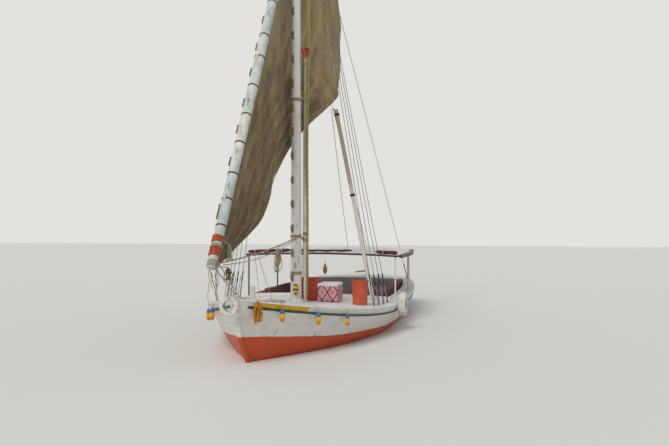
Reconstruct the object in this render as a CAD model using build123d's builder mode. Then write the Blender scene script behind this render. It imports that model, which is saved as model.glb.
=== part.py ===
"""A Nile felucca: a shallow open river boat with a decked bow, a shaded passenger well, one short
mast and a tall lateen sail slung on a long yard. Millimetres. +X points forward, +Y to port, +Z up.
The origin is on the waterline amidships, so z = 0 is the surface of the water."""
import math
import os

from build123d import *

os.makedirs("parts", exist_ok=True)

# Hull lines, as cross sections from the transom to the stem
# Columns: x, rabbet z, floor end y and z, side foot y and z, bilge bulge, sheer y and z
LINES = [
    (-6200, -120, 640, -70, 1330, 330, 80, 1590, 880),
    (-4300, -370, 1050, -290, 1840, 240, 120, 2070, 775),
    (-2000, -420, 1330, -365, 2120, 205, 130, 2310, 712),
    (0, -420, 1350, -370, 2150, 200, 130, 2340, 696),
    (1300, -420, 1250, -370, 2070, 215, 130, 2317, 707),
    (2500, -420, 950, -355, 1790, 260, 130, 2132, 770),
    (3500, -420, 640, -355, 1440, 290, 100, 1806, 868),
    (4300, -400, 330, -330, 1010, 320, 80, 1418, 975),
    (4900, -330, 120, -250, 640, 360, 45, 1049, 1072),
    (5300, -110, 80, -60, 400, 500, 30, 763, 1144),
    (5600, 240, 60, 300, 225, 700, 16, 528, 1203),
    (5900, 636, 50, 690, 120, 930, 8, 283, 1263),
    (6060, 1176, 46, 1195, 60, 1235, 4, 131, 1300),
]
RABBET_HALF = 42
STEPS_BETWEEN = 2
SKIN = 55
BOTTOM_SKIN = 70
SEAT = 0.3

# Keel and stem, outside the rabbet
KEEL_BOTTOM = -620
KEEL_AFT_X = -6250
FOREFOOT = (3900, KEEL_BOTTOM)
STEM_WATERLINE = (5520, 0)
FOREFOOT_BEND = (4880, -445)
STEM_KNUCKLE = (5920, 530)
STEM_HEAD = (6232, 1424)

# Decks and the open well
DECK_EDGE = 32
DECK_NOSE = 14
DECK_CROWN = 75
WELL_FRONT = 300
WELL_BACK = -4600
SIDE_DECK = 330
COAMING_THICK = 32
COAMING_HIGH = 70
COAMING_FOOT = 90
WELL_CUT = 300
SOLE_TOP = 120
SOLE_THICK = 28
SOLE_BOARD, SOLE_GAP, SOLE_BOARDS = 286, 14, 11
SOLE_AFT, SOLE_FORE = -4560, 260

# Strakes along the sheer
STRAKE_DROP_BOW, STRAKE_DROP_MID = 85, 140
STRAKE_TALL = 46
STRAKE_BEVEL = 15
STRAKE_OUT = 34
STRAKE_END = 5950

# Frames inside the well
FRAME_FIRST, FRAME_PITCH, FRAME_COUNT = 50, -500, 10
FRAME_SIDED = 45
FRAME_MOULDED = 60

# Benches and their pads in the well
BENCH_FRONT, BENCH_BACK = 150, -4300
BENCH_INNER = 950
BENCH_TOP = 560
BENCH_BOARD = 30
BENCH_PANEL = 22
PAD_HIGH = 150
PAD_COUNT = 3
PAD_GAP = 12
PAD_OUTER = 1560
BOLSTER_HIGH = 400
BOLSTER_THICK = 130

# Table on the sole
TABLE_X, TABLE_LENGTH, TABLE_WIDE = -2000, 1500, 700
TABLE_TOP = 620
TABLE_APRON = 70
TABLE_BOARD = 35
TABLE_LEG = 60

# Mast, its collar at the deck and its head
MAST_X = 2354
MAST_FOOT_R, MAST_HEAD_R = 138, 92
MAST_TOP = 12450
HOUNDS_Z = 12100
HOUND_TALL, HOUND_THICK = 160, 12
COLLAR_R, COLLAR_TALL = 190, 70
CLEAT_FIRST, CLEAT_PITCH, CLEAT_COUNT = 1480, 600, 18
CLEAT_WIDE, CLEAT_LONG, CLEAT_OUT = 62, 230, 60
CLEAT_ANGLE = -20

# Poles: one lashed upright beside the mast, one that props the gathered clew
POLE_X, POLE_Y, POLE_R, POLE_TOP = 2240, 205, 44, 7020
POLE_CHOCKS = [2400, 5900]
CHOCK_TALL, CHOCK_WIDE = 70, 60
PROP_FOOT = (750, 1630)
PROP_TIP = (1060, 690, 5850)
PROP_R = 54

# Yard, from its heel over the bow to its peak
YARD_HEEL = (6860, -150, 1975)
YARD_CROSSING = (MAST_X, -232, 10000)
YARD_LENGTH = 18000
# Columns: share of the length, radius
YARD_TAPER = [(0.0, 84), (0.05, 96), (0.3, 108), (0.55, 104), (0.8, 76), (1.0, 38)]
# Columns: distance from the heel, length of the wrap
YARD_WRAPS = [(320, 200), (580, 130)]
WRAP_THICK = 10
WRAP_END = 700
# Distance from the heel of each thumb cleat on the yard's upper side
YARD_THUMBS = [1430, 1690, 2520, 3780, 5020, 6340, 7600, 11200, 12900, 14600]
THUMB_LONG, THUMB_TALL, THUMB_WIDE = 190, 55, 46
PARREL_GAP = 0.4
PARREL_RISE = 80
PARREL_ROPE_R = 24

# Sail, brailed up in folds: where its free edge is at each height
# Columns: z, x, y
SAIL_EDGE = [
    (2440, 5680, -190),
    (3000, 4230, -210),
    (3430, 3610, -240),
    (4200, 2790, -330),
    (4600, 2240, -350),
    (5150, 1900, -20),
    (5600, 1500, 260),
    (5980, 700, 470),
    (6600, 100, 450),
    (7850, -860, 420),
    (8970, -660, 380),
    (10000, -700, 250),
    (12000, -900, 60),
    (14000, -1250, -90),
    (16000, -1640, -230),
    (17300, -1890, -295),
]
SAIL_THICK, SAIL_THIN = 150, 60
# Where the cloth passes the mast, and the height above which it hangs straight
SAIL_BEND = (2080, -350)
SAIL_BEND_LOW, SAIL_BEND_HIGH = 4600, 9500

# Shrouds, four a side. Columns: x and y of each one's foot on the deck
SHROUD_FEET = [(2200, 1930), (1840, 1985), (1430, 2030), (1010, 2060)]
BACKSTAY_FOOT = (-5650, 1640)
SHROUD_R = 7
SCREW_R, SCREW_LENGTH = 17, 420
PLATE_LONG, PLATE_TALL, PLATE_THICK = 90, 60, 36

# Awning
AWNING_Z = 1920
CANOPY_CROWN = 60
CANOPY_THICK = 12
BAR_DEEP, BAR_WIDE = 50, 44
POST_R = 21
# Columns: x, half breadth of the hoop there
HOOPS = [(170, 2200), (-2300, 2200), (-4750, 1900)]
POST_INSET = 60
ROLL_R = 56
# Rolled cloth on the front hoop. Columns: from y, to y
FRONT_ROLLS = [(-2190, -880), (1580, 2190)]
LANTERN_X, LANTERN_Y = 170, 150
LANTERN_BOTTOM, LANTERN_TALL, LANTERN_R = 1400, 310, 62
LANTERN_CHAIN_R = 4

# Things that stand on the foredeck
SQUARE_BIN = (1560, 80)
SQUARE_BIN_SIZE = (470, 600, 570)
BIN_TAPER, BIN_WALL, BIN_RIM = 40, 8, 22
ROUND_BIN = (2160, 1580)
ROUND_BIN_R, ROUND_BIN_TALL = 200, 590
POUFFE = (1700, 700)
POUFFE_SIZE = (560, 560, 480)
POUFFE_ROUND = 45
BITT_X = 5250
BITT_R, BITT_TALL, BITT_FLANGE_R, BITT_FLANGE = 58, 300, 120, 24
COIL = (4250, -560)
COIL_R, COIL_HOLE, COIL_TALL = 240, 95, 84
FLOAT_Y, FLOAT_Z, FLOAT_R, FLOAT_TALL = 50, 1200, 70, 300

# Tyre fenders
BOW_TYRE_R, BOW_TYRE_HOLE, BOW_TYRE_WIDE = 190, 104, 88
BOW_TYRE_Y, BOW_TYRE_Z = -70, 1215
SIDE_TYRE_R, SIDE_TYRE_HOLE, SIDE_TYRE_WIDE = 315, 190, 190
SIDE_TYRE_X, SIDE_TYRE_Z = 820, 700
TYRE_WALL = 14
# Small floats hung over the rail as fenders. Columns: x, side of the boat
FENDERS = [(5430, 1), (4660, 1), (3860, 1), (5000, -1), (4450, -1)]
FENDER_R, FENDER_TALL, FENDER_DROP = 52, 280, 115
FENDER_STEPS = 56
FENDER_GAP = 6
HANK_X, HANK_WIDE, HANK_TALL, HANK_THICK, HANK_TOP = 5860, 220, 470, 90, 40

# Rudder and tiller
RUDDER_AXIS_X = -6300
RUDDER_LEAD = 38
RUDDER_THICK = 60
RUDDER_WIDE = 900
RUDDER_BOTTOM, RUDDER_SHOULDER, RUDDER_TOP = -600, 350, 1160
RUDDER_HEAD_WIDE = 300
PIN_R, PIN_CLEAR = 12, 0.1
EYE_R, EYE_TALL = 28, 44
STRAP_TALL, STRAP_THICK, STRAP_LONG = 34, 8, 330
GUDGEONS = [-420, 90, 640]
PIN_GAP = 0.3
TILLER_LENGTH, TILLER_SIDE, TILLER_Z = 1950, 70, 1075
TILLER_NARROW = 42


def smooth_lines(x):
    """The hull's section at x, each column eased through the table without overshoot."""
    spots = [line[0] for line in LINES]
    i = max(0, min(len(LINES) - 2, sum(spot <= x for spot in spots) - 1))
    span = spots[i + 1] - spots[i]
    share = (x - spots[i]) / span

    def slope(column, k):
        if k in (0, len(LINES) - 1):
            j = min(k, len(LINES) - 2)
            return (LINES[j + 1][column] - LINES[j][column]) / (spots[j + 1] - spots[j])
        before = (LINES[k][column] - LINES[k - 1][column]) / (spots[k] - spots[k - 1])
        after = (LINES[k + 1][column] - LINES[k][column]) / (spots[k + 1] - spots[k])
        return 0 if before * after <= 0 else 2 * before * after / (before + after)

    row = [x]
    for column in range(1, 9):
        a, b = LINES[i][column], LINES[i + 1][column]
        near, far = slope(column, i) * span, slope(column, i + 1) * span
        ease = share * share * (3 - 2 * share)
        row.append(
            a + (b - a) * ease
            + near * share * (1 - share) ** 2
            - far * share * share * (1 - share)
        )
    return row


STATIONS = []
for line, after in zip(LINES, LINES[1:]):
    for step in range(STEPS_BETWEEN):
        STATIONS.append(smooth_lines(line[0] + (after[0] - line[0]) * step / STEPS_BETWEEN))
STATIONS.append(smooth_lines(LINES[-1][0]))


def hull_at(x):
    """The section of the built hull at x: straight between its stations, as the planks lie."""
    for before, after in zip(STATIONS, STATIONS[1:]):
        if x <= after[0]:
            share = (x - before[0]) / (after[0] - before[0])
            return [p + (q - p) * share for p, q in zip(before, after)]
    return STATIONS[-1]


def stations_between(low, high):
    """The built sections from low to high, with one at each end."""
    inner = [row[0] for row in STATIONS if low + 1 < row[0] < high - 1]
    return [hull_at(x) for x in [low, *inner, high]]


WIDEST = max(row[7] for row in STATIONS)


def sheer_y(x):
    return hull_at(x)[7]


def sheer_z(x):
    return hull_at(x)[8]


def crown_z(x, y):
    """The top of the cambered deck at x, y."""
    half = sheer_y(x) + DECK_NOSE
    crown = DECK_CROWN * half / WIDEST
    return sheer_z(x) + DECK_EDGE + crown * (1 - (y / half) ** 2)


def side_y(x, z):
    """How far out the topside plank is at x and z, between its foot and the sheer."""
    _, _, _, _, foot_y, foot_z, _, top_y, top_z = hull_at(x)
    return foot_y + (top_y - foot_y) * (z - foot_z) / (top_z - foot_z)


def section_face(row, inset=0, lift=0, above=0):
    """One cross section of the hull, or of the space inside it when it is inset and lifted."""
    x, rabbet, floor_y, floor_z, foot_y, foot_z, bulge, _, sheer = row
    top_y, top_z = side_y(x, sheer + above), sheer + above
    with BuildSketch(Plane.YZ.offset(x)) as sketch:
        with BuildLine():
            Line((0, rabbet + lift), (RABBET_HALF, rabbet + lift))
            Line((RABBET_HALF, rabbet + lift), (floor_y - inset / 2, floor_z + lift))
            SagittaArc((floor_y - inset / 2, floor_z + lift), (foot_y - inset, foot_z), -bulge)
            Line((foot_y - inset, foot_z), (top_y - inset, top_z))
            Line((top_y - inset, top_z), (0, top_z))
            Line((0, top_z), (0, rabbet + lift))
        make_face()
        mirror(about=Plane.YZ)
    return sketch.sketch.faces()[0]


def polygon_face(plane, points):
    """A flat face through the points, which lie in the plane's own axes."""
    with BuildSketch(plane) as sketch:
        with BuildLine():
            Polyline(*points, close=True)
        make_face()
    return sketch.sketch.faces()[0]


def rod(start, end, radius):
    """A straight round bar from start to end."""
    way = Vector(*end) - Vector(*start)
    with BuildPart() as bar:
        with BuildSketch(Plane(origin=start, z_dir=way)):
            Circle(radius)
        extrude(amount=way.length)
    return bar.part


def lathe(profile):
    """A turned solid about the Z axis from (radius, z) pairs."""
    with BuildPart() as turned:
        with BuildSketch(Plane.XZ):
            with BuildLine():
                Polyline(*profile, close=True)
            make_face()
        revolve(axis=Axis.Z)
    return turned.part


def write(name, shape):
    """Label the finished piece and write it."""
    shape.label = name
    export_step(shape, f"parts/{name}.step")


# The planked shell, with the well hollowed out of it
with BuildPart() as well_space:
    rows = stations_between(WELL_BACK, WELL_FRONT)
    loft(sections=[section_face(row, SKIN, BOTTOM_SKIN, WELL_CUT) for row in rows], ruled=True)

with BuildPart() as hull_shell:
    loft(sections=[section_face(row) for row in STATIONS], ruled=True)
    add(well_space.part, mode=Mode.SUBTRACT)
write("hull_shell", hull_shell.part)

# Keel, forefoot and stem in one backbone under the rabbet
TRANSOM_TOP = STATIONS[0][8]
BOW_FACE_X = STATIONS[-1][0]
with BuildPart() as backbone:
    with BuildSketch(Plane.XZ.offset(-RABBET_HALF)):
        with BuildLine():
            Polyline(
                FOREFOOT,
                (KEEL_AFT_X, KEEL_BOTTOM),
                (KEEL_AFT_X, TRANSOM_TOP),
                (STATIONS[0][0], TRANSOM_TOP),
                *[(row[0], row[1]) for row in STATIONS],
                (BOW_FACE_X, STEM_HEAD[1]),
                STEM_HEAD,
                STEM_KNUCKLE,
                STEM_WATERLINE,
            )
            ThreePointArc(STEM_WATERLINE, FOREFOOT_BEND, FOREFOOT)
        make_face()
    extrude(amount=2 * RABBET_HALF)
write("backbone", backbone.part)


def strake_top(x):
    """The height of the rubbing strake's upper edge."""
    drop = STRAKE_DROP_MID + (STRAKE_DROP_BOW - STRAKE_DROP_MID) * max(0, x) / STRAKE_END
    return sheer_z(x) - drop


def strake_edge(x):
    """The rubbing strake's outer corners at x from the top down, as (y, z) pairs."""
    top = strake_top(x)
    bottom = top - STRAKE_TALL
    outer_top, outer_bottom = side_y(x, top) + STRAKE_OUT, side_y(x, bottom) + STRAKE_OUT
    return [
        (outer_top - STRAKE_BEVEL, top),
        (outer_top, top - STRAKE_BEVEL),
        (outer_bottom, bottom + STRAKE_BEVEL),
        (outer_bottom - STRAKE_BEVEL, bottom),
    ]


# Rubbing strakes: a batten along both topsides, nearer the sheer towards the bow
with BuildPart() as rub_strakes:
    for side in (1, -1):
        faces = []
        for row in stations_between(LINES[0][0], STRAKE_END):
            x = row[0]
            edge = strake_edge(x)
            inner = side_y(x, edge[-1][1]) - SKIN / 2
            points = [(side * inner, edge[-1][1]), (side * inner, edge[0][1])]
            points += [(side * y, z) for y, z in edge]
            faces.append(polygon_face(Plane.YZ.offset(x), points))
        loft(sections=faces, ruled=True)
    add(hull_shell.part, mode=Mode.SUBTRACT)
write("rub_strakes", rub_strakes.part)

# Decks, cambered boards on the hull's top with a rounded nosing past the side


def deck_face(x, inner=0, side=1):
    """A deck's section: the whole breadth, or one side from the inner edge outward."""
    half = sheer_y(x) + DECK_NOSE
    seat = sheer_z(x) + SEAT
    edge = sheer_z(x) + DECK_EDGE
    with BuildSketch(Plane.YZ.offset(x)) as sketch:
        with BuildLine():
            if inner:
                a, b, c = inner, (inner + half) / 2, half
                Line((side * a, seat), (side * c, seat))
                Line((side * c, seat), (side * c, edge))
                ThreePointArc(
                    (side * c, edge),
                    (side * b, crown_z(x, b)),
                    (side * a, crown_z(x, a)),
                )
                Line((side * a, crown_z(x, a)), (side * a, seat))
            else:
                Line((-half, seat), (half, seat))
                Line((half, seat), (half, edge))
                ThreePointArc((half, edge), (0, crown_z(x, 0)), (-half, edge))
                Line((-half, edge), (-half, seat))
        make_face()
    return sketch.sketch.faces()[0]


with BuildPart() as foredeck:
    loft(sections=[deck_face(row[0]) for row in stations_between(WELL_FRONT, BOW_FACE_X)], ruled=True)
    with Locations((MAST_X, 0, 0)):
        Cylinder(MAST_FOOT_R + SEAT, 2 * MAST_TOP, mode=Mode.SUBTRACT)
write("foredeck", foredeck.part)

with BuildPart() as afterdeck:
    loft(sections=[deck_face(row[0]) for row in stations_between(LINES[0][0], WELL_BACK)], ruled=True)
write("afterdeck", afterdeck.part)


def well_side(x):
    """Where the side decks stop and the well opens."""
    return sheer_y(x) - SIDE_DECK


with BuildPart() as side_decks:
    for side in (1, -1):
        rows = stations_between(WELL_BACK, WELL_FRONT)
        loft(sections=[deck_face(row[0], well_side(row[0]), side) for row in rows], ruled=True)
write("side_decks", side_decks.part)

# Coaming: a low ring of boards that stands in the well's edge, a seat's gap inside the decks
with BuildPart() as coaming:
    for side in (1, -1):
        faces = []
        for row in stations_between(WELL_BACK + SEAT, WELL_FRONT - SEAT):
            x = row[0]
            outer = well_side(x) - SEAT
            inner = outer - COAMING_THICK
            low, high = sheer_z(x) - COAMING_FOOT, crown_z(x, outer) + COAMING_HIGH
            points = [(side * inner, low), (side * outer, low), (side * outer, high), (side * inner, high)]
            faces.append(polygon_face(Plane.YZ.offset(x), points))
        loft(sections=faces, ruled=True)
    for x, way in ((WELL_FRONT - SEAT, -1), (WELL_BACK + SEAT, 1)):
        half = well_side(x) - SEAT
        low, high = sheer_z(x) - COAMING_FOOT, crown_z(x, half) + COAMING_HIGH
        with BuildSketch(Plane.YZ.offset(x)):
            with BuildLine():
                Line((-half, low), (half, low))
                Line((half, low), (half, high))
                ThreePointArc((half, high), (0, crown_z(x, 0) + COAMING_HIGH), (-half, high))
                Line((-half, high), (-half, low))
            make_face()
        extrude(amount=way * COAMING_THICK)
write("coaming", coaming.part)

# Frames: a floor timber up to the sole and a rib up each side, fitted to the inside of the shell
SOLE_UNDER = SOLE_TOP - SOLE_THICK
with BuildPart() as lined_space:
    rows = stations_between(WELL_BACK, WELL_FRONT)
    inset = SKIN + FRAME_MOULDED
    loft(sections=[section_face(row, inset, BOTTOM_SKIN, WELL_CUT) for row in rows], ruled=True)
with BuildPart() as above_sole:
    add(lined_space.part)
    with Locations((0, 0, SOLE_UNDER)):
        Box(3 * BOW_FACE_X, 3 * WIDEST, MAST_TOP, align=(Align.CENTER, Align.CENTER, Align.MIN),
            mode=Mode.INTERSECT)
with BuildPart() as over_frames:
    faces = []
    for row in stations_between(WELL_BACK - SKIN, WELL_FRONT + SKIN):
        low = row[8] - COAMING_FOOT
        reach = 2 * WIDEST
        corners = [(-reach, low), (reach, low), (reach, low + 2 * WELL_CUT), (-reach, low + 2 * WELL_CUT)]
        faces.append(polygon_face(Plane.YZ.offset(row[0]), corners))
    loft(sections=faces, ruled=True)
with BuildPart() as frames:
    add(well_space.part)
    add(over_frames.part, mode=Mode.SUBTRACT)
    with Locations(*[(FRAME_FIRST + FRAME_PITCH * k, 0, 0) for k in range(FRAME_COUNT)]):
        Box(FRAME_SIDED, 3 * WIDEST, MAST_TOP, mode=Mode.INTERSECT)
    add(above_sole.part, mode=Mode.SUBTRACT)
for name, keep in (("floor_timbers", Keep.BOTTOM), ("ribs", Keep.TOP)):
    with BuildPart() as timbers:
        add(frames.part)
        split(bisect_by=Plane.XY.offset(SOLE_UNDER), keep=keep)
    write(name, timbers.part)

# Sole: long boards over the floors
with BuildPart() as sole:
    middle = (SOLE_AFT + SOLE_FORE) / 2
    with Locations((middle, 0, SOLE_UNDER + SEAT)):
        with GridLocations(1, SOLE_BOARD + SOLE_GAP, 1, SOLE_BOARDS):
            Box(SOLE_FORE - SOLE_AFT, SOLE_BOARD, SOLE_THICK - SEAT,
                align=(Align.CENTER, Align.CENTER, Align.MIN))
    add(above_sole.part, mode=Mode.INTERSECT)
write("sole", sole.part)

# Benches down both sides: a seat board and the panel in front of it
BENCH_MIDDLE = (BENCH_FRONT + BENCH_BACK) / 2
BENCH_LENGTH = BENCH_FRONT - BENCH_BACK
with BuildPart() as benches:
    for side in (1, -1):
        with Locations((BENCH_MIDDLE, side * (BENCH_INNER + WIDEST / 2), BENCH_TOP - BENCH_BOARD / 2)):
            Box(BENCH_LENGTH, WIDEST, BENCH_BOARD)
        panel_y = side * (BENCH_INNER + BENCH_PANEL / 2)
        with Locations((BENCH_MIDDLE, panel_y, SOLE_TOP + SEAT)):
            Box(BENCH_LENGTH, BENCH_PANEL, BENCH_TOP - SOLE_TOP - SEAT,
                align=(Align.CENTER, Align.CENTER, Align.MIN))
    add(above_sole.part, mode=Mode.INTERSECT)
write("benches", benches.part)


def soft_block(x_size, y_size, z_size, rounding):
    """A plain pad with rounded edges, its middle at the origin."""
    with BuildPart() as block:
        Box(x_size, y_size, z_size)
        fillet(block.edges(), rounding)
    return block.part


PAD_LENGTH = (BENCH_LENGTH - PAD_GAP * (PAD_COUNT - 1)) / PAD_COUNT
PAD_SPOTS = [BENCH_BACK + PAD_LENGTH / 2 + k * (PAD_LENGTH + PAD_GAP) for k in range(PAD_COUNT)]
pad = soft_block(PAD_LENGTH, PAD_OUTER - BENCH_INNER, PAD_HIGH, PAD_HIGH / 4)
bolster = soft_block(PAD_LENGTH, BOLSTER_THICK, BOLSTER_HIGH, BOLSTER_THICK / 3)
with BuildPart() as bench_pads:
    for side in (1, -1):
        y = side * (PAD_OUTER + BENCH_INNER) / 2
        with Locations(*[(x, y, BENCH_TOP + SEAT + PAD_HIGH / 2) for x in PAD_SPOTS]):
            add(pad)
write("bench_pads", bench_pads.part)
with BuildPart() as bolsters:
    for side in (1, -1):
        y = side * (PAD_OUTER + SEAT + BOLSTER_THICK / 2)
        with Locations(*[(x, y, BENCH_TOP + SEAT + BOLSTER_HIGH / 2) for x in PAD_SPOTS]):
            add(bolster)
write("bolsters", bolsters.part)

# Low table on the sole
with BuildPart() as table:
    with Locations((TABLE_X, 0, TABLE_TOP - TABLE_BOARD / 2)):
        Box(TABLE_LENGTH, TABLE_WIDE, TABLE_BOARD)
    with Locations((TABLE_X, 0, TABLE_TOP - TABLE_BOARD - TABLE_APRON / 2)):
        Box(TABLE_LENGTH - TABLE_LEG, TABLE_WIDE - TABLE_LEG, TABLE_APRON)
    leg_tall = TABLE_TOP - SOLE_TOP - SEAT
    with Locations((TABLE_X, 0, SOLE_TOP + SEAT)):
        with GridLocations(TABLE_LENGTH - 2 * TABLE_LEG, TABLE_WIDE - 2 * TABLE_LEG, 2, 2):
            Box(TABLE_LEG, TABLE_LEG, leg_tall - TABLE_BOARD / 2,
                align=(Align.CENTER, Align.CENTER, Align.MIN))
write("table", table.part)

# Mast: a tapered trunk stepped under the deck, with climbing cleats up its fore side
MAST_FOOT_Z = sheer_z(MAST_X + MAST_FOOT_R) + SEAT


def mast_r(z):
    return MAST_FOOT_R + (MAST_HEAD_R - MAST_FOOT_R) * (z - MAST_FOOT_Z) / (MAST_TOP - MAST_FOOT_Z)


with BuildPart() as mast:
    with BuildSketch(Plane.XZ):
        with BuildLine():
            Polyline((0, MAST_FOOT_Z), (MAST_FOOT_R, MAST_FOOT_Z), (MAST_HEAD_R, MAST_TOP - MAST_HEAD_R / 3),
                     (MAST_HEAD_R * 2 / 3, MAST_TOP), (0, MAST_TOP), close=True)
        make_face()
    revolve(axis=Axis.Z)
    for k in range(CLEAT_COUNT):
        z = CLEAT_FIRST + k * CLEAT_PITCH
        reach = mast_r(z) + CLEAT_OUT
        with BuildSketch(Plane.XZ.rotated((0, 0, CLEAT_ANGLE))):
            with BuildLine():
                Polyline(
                    (MAST_HEAD_R / 2, z - CLEAT_LONG / 2),
                    (mast_r(z), z - CLEAT_LONG / 2),
                    (reach, z - CLEAT_LONG / 8),
                    (reach, z + CLEAT_LONG / 4),
                    (mast_r(z), z + CLEAT_LONG / 2),
                    (MAST_HEAD_R / 2, z + CLEAT_LONG / 2),
                    close=True,
                )
            make_face()
        extrude(amount=CLEAT_WIDE / 2, both=True)
mast = Pos(MAST_X, 0, 0) * mast.part
write("mast", mast)

with BuildPart() as mast_collar:
    deck_z = crown_z(MAST_X, 0)
    with Locations((MAST_X, 0, deck_z)):
        Cylinder(COLLAR_R, 2 * COLLAR_TALL)
        Cylinder(MAST_FOOT_R + SEAT, 3 * COLLAR_TALL, mode=Mode.SUBTRACT)
    chamfer(mast_collar.edges().group_by(Axis.Z)[-1].sort_by(SortBy.RADIUS)[-1], COLLAR_TALL / 4)
    add(foredeck.part, mode=Mode.SUBTRACT)
    with Locations((MAST_X, 0, deck_z - COLLAR_TALL)):
        Box(4 * COLLAR_R, 4 * COLLAR_R, 1.6 * COLLAR_TALL, mode=Mode.SUBTRACT)
write("mast_collar", mast_collar.part)

with BuildPart() as hound_band:
    with Locations((MAST_X, 0, HOUNDS_Z)):
        Cylinder(mast_r(HOUNDS_Z) + HOUND_THICK, HOUND_TALL)
    add(mast, mode=Mode.SUBTRACT)
write("hound_band", hound_band.part)

# Upright pole, held off the mast by chocks
with BuildPart() as pole:
    foot = crown_z(POLE_X, POLE_Y) + POLE_R / 8 + SEAT
    add(rod((POLE_X, POLE_Y, foot), (POLE_X, POLE_Y, POLE_TOP), POLE_R))
    chamfer(pole.edges().filter_by(GeomType.CIRCLE).sort_by(Axis.Z)[-1], POLE_R / 4)
write("pole", pole.part)

with BuildPart() as pole_chocks:
    gap = math.hypot(POLE_X - MAST_X, POLE_Y)
    turn = math.degrees(math.atan2(POLE_Y, POLE_X - MAST_X))
    for z in POLE_CHOCKS:
        with BuildSketch(Plane(origin=(MAST_X, 0, z), x_dir=Vector(1, 0, 0).rotate(Axis.Z, turn))):
            with Locations((gap / 2, 0)):
                Rectangle(gap, CHOCK_WIDE)
        extrude(amount=CHOCK_TALL)
    add(mast, mode=Mode.SUBTRACT)
    with Locations((POLE_X, POLE_Y, 0)):
        Cylinder(POLE_R + SEAT, 2 * MAST_TOP, mode=Mode.SUBTRACT)
write("pole_chocks", pole_chocks.part)

# Leaning prop under the clew
prop_way = Vector(*PROP_TIP) - Vector(*PROP_FOOT, crown_z(*PROP_FOOT))
prop_rise = PROP_R * (math.hypot(prop_way.X, prop_way.Y) / prop_way.length + 0.05)
prop = rod((*PROP_FOOT, crown_z(*PROP_FOOT) + prop_rise), PROP_TIP, PROP_R)
write("prop", prop)

# Yard: a tapered spar with thumb cleats, its frame of reference at the heel
HEEL = Vector(*YARD_HEEL)
YARD_WAY = (Vector(*YARD_CROSSING) - HEEL).normalized()
YARD_UP = YARD_WAY.cross(Vector(0, 1, 0)).normalized()


def yard_r(distance):
    share = distance / YARD_LENGTH
    for (a, low), (b, high) in zip(YARD_TAPER, YARD_TAPER[1:]):
        if share <= b:
            return low + (high - low) * (share - a) / (b - a)
    return YARD_TAPER[-1][1]


def yard_sleeve(first, last, wall):
    """A turned solid about the yard from first to last, a wall thicker than the spar."""
    spots = [share * YARD_LENGTH for share, _ in YARD_TAPER]
    marks = [first, *[spot for spot in spots if first < spot < last], last]
    return [(0, first), *[(yard_r(mark) + wall, mark) for mark in marks], (0, last)]


def about_yard(profile):
    """A turned solid about the yard's axis from (radius, distance from the heel) pairs."""
    return Plane(origin=YARD_HEEL, x_dir=YARD_UP, z_dir=YARD_WAY).location * lathe(profile)


with BuildPart() as yard:
    add(about_yard(yard_sleeve(0, YARD_LENGTH, 0)))
    for distance in YARD_THUMBS:
        spot = HEEL + YARD_WAY * distance
        with BuildSketch(Plane(origin=spot, x_dir=YARD_WAY, z_dir=YARD_WAY.cross(YARD_UP))):
            with BuildLine():
                base = yard_r(distance)
                Polyline(
                    (-THUMB_LONG / 2, 0),
                    (-THUMB_LONG / 2, -base),
                    (THUMB_LONG / 6, -base - THUMB_TALL),
                    (THUMB_LONG / 2, -base - THUMB_TALL),
                    (THUMB_LONG / 4, -base),
                    (THUMB_LONG / 4, 0),
                    close=True,
                )
            make_face()
        extrude(amount=THUMB_WIDE / 2, both=True)
write("yard", yard.part)

with BuildPart() as yard_wraps:
    for middle, length in YARD_WRAPS:
        add(about_yard(yard_sleeve(middle - length / 2, middle + length / 2, WRAP_THICK)))
    add(about_yard(yard_sleeve(0, WRAP_END, SEAT)), mode=Mode.SUBTRACT)
write("yard_wraps", yard_wraps.part)

with BuildPart() as parrel:
    z = YARD_CROSSING[2] + PARREL_RISE
    with Locations((MAST_X, 0, z)):
        Torus(mast_r(z - PARREL_ROPE_R / 2) + PARREL_GAP + PARREL_ROPE_R, PARREL_ROPE_R)
    near = (HEEL - Vector(*YARD_CROSSING)).length
    add(about_yard(yard_sleeve(near - 1000, near + 1000, SEAT)), mode=Mode.SUBTRACT)
write("parrel", parrel.part)


# Sail: the brailed cloth as one thick folded sheet, from the yard past the mast to its free edge
def sail_face(z, edge_x, edge_y):
    """A level slice through the gathered sail: yard, bend beside the mast, free edge."""
    rise = (z - YARD_HEEL[2]) / YARD_WAY.Z
    start = HEEL + YARD_WAY * rise
    if SAIL_BEND_LOW < z < SAIL_BEND_HIGH:
        bend = SAIL_BEND
    else:
        bend = (start.X * 0.55 + edge_x * 0.45, start.Y * 0.55 + edge_y * 0.45 - SAIL_THICK / 10)
    line = [Vector(start.X, start.Y), Vector(*bend), Vector(edge_x, edge_y)]
    share = (z - SAIL_EDGE[0][0]) / (SAIL_EDGE[-1][0] - SAIL_EDGE[0][0])
    half = (SAIL_THICK + (SAIL_THIN - SAIL_THICK) * share) / 2
    first = (line[1] - line[0]).normalized().rotate(Axis.Z, 90)
    last = (line[2] - line[1]).normalized().rotate(Axis.Z, 90)
    middle = (first + last).normalized()
    normals = [first, middle, last]
    near_side = [point + normal * half for point, normal in zip(line, normals)]
    far_side = [point - normal * half for point, normal in zip(line, normals)]
    outline = [(point.X, point.Y) for point in near_side + far_side[::-1]]
    return polygon_face(Plane.XY.offset(z), outline)


with BuildPart() as sail:
    loft(sections=[sail_face(*row) for row in SAIL_EDGE], ruled=True)
    add(about_yard(yard_sleeve(0, WRAP_END, WRAP_THICK + SEAT)), mode=Mode.SUBTRACT)
    add(about_yard(yard_sleeve(0, YARD_LENGTH, SEAT)), mode=Mode.SUBTRACT)
write("sail", sail.part)

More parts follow.
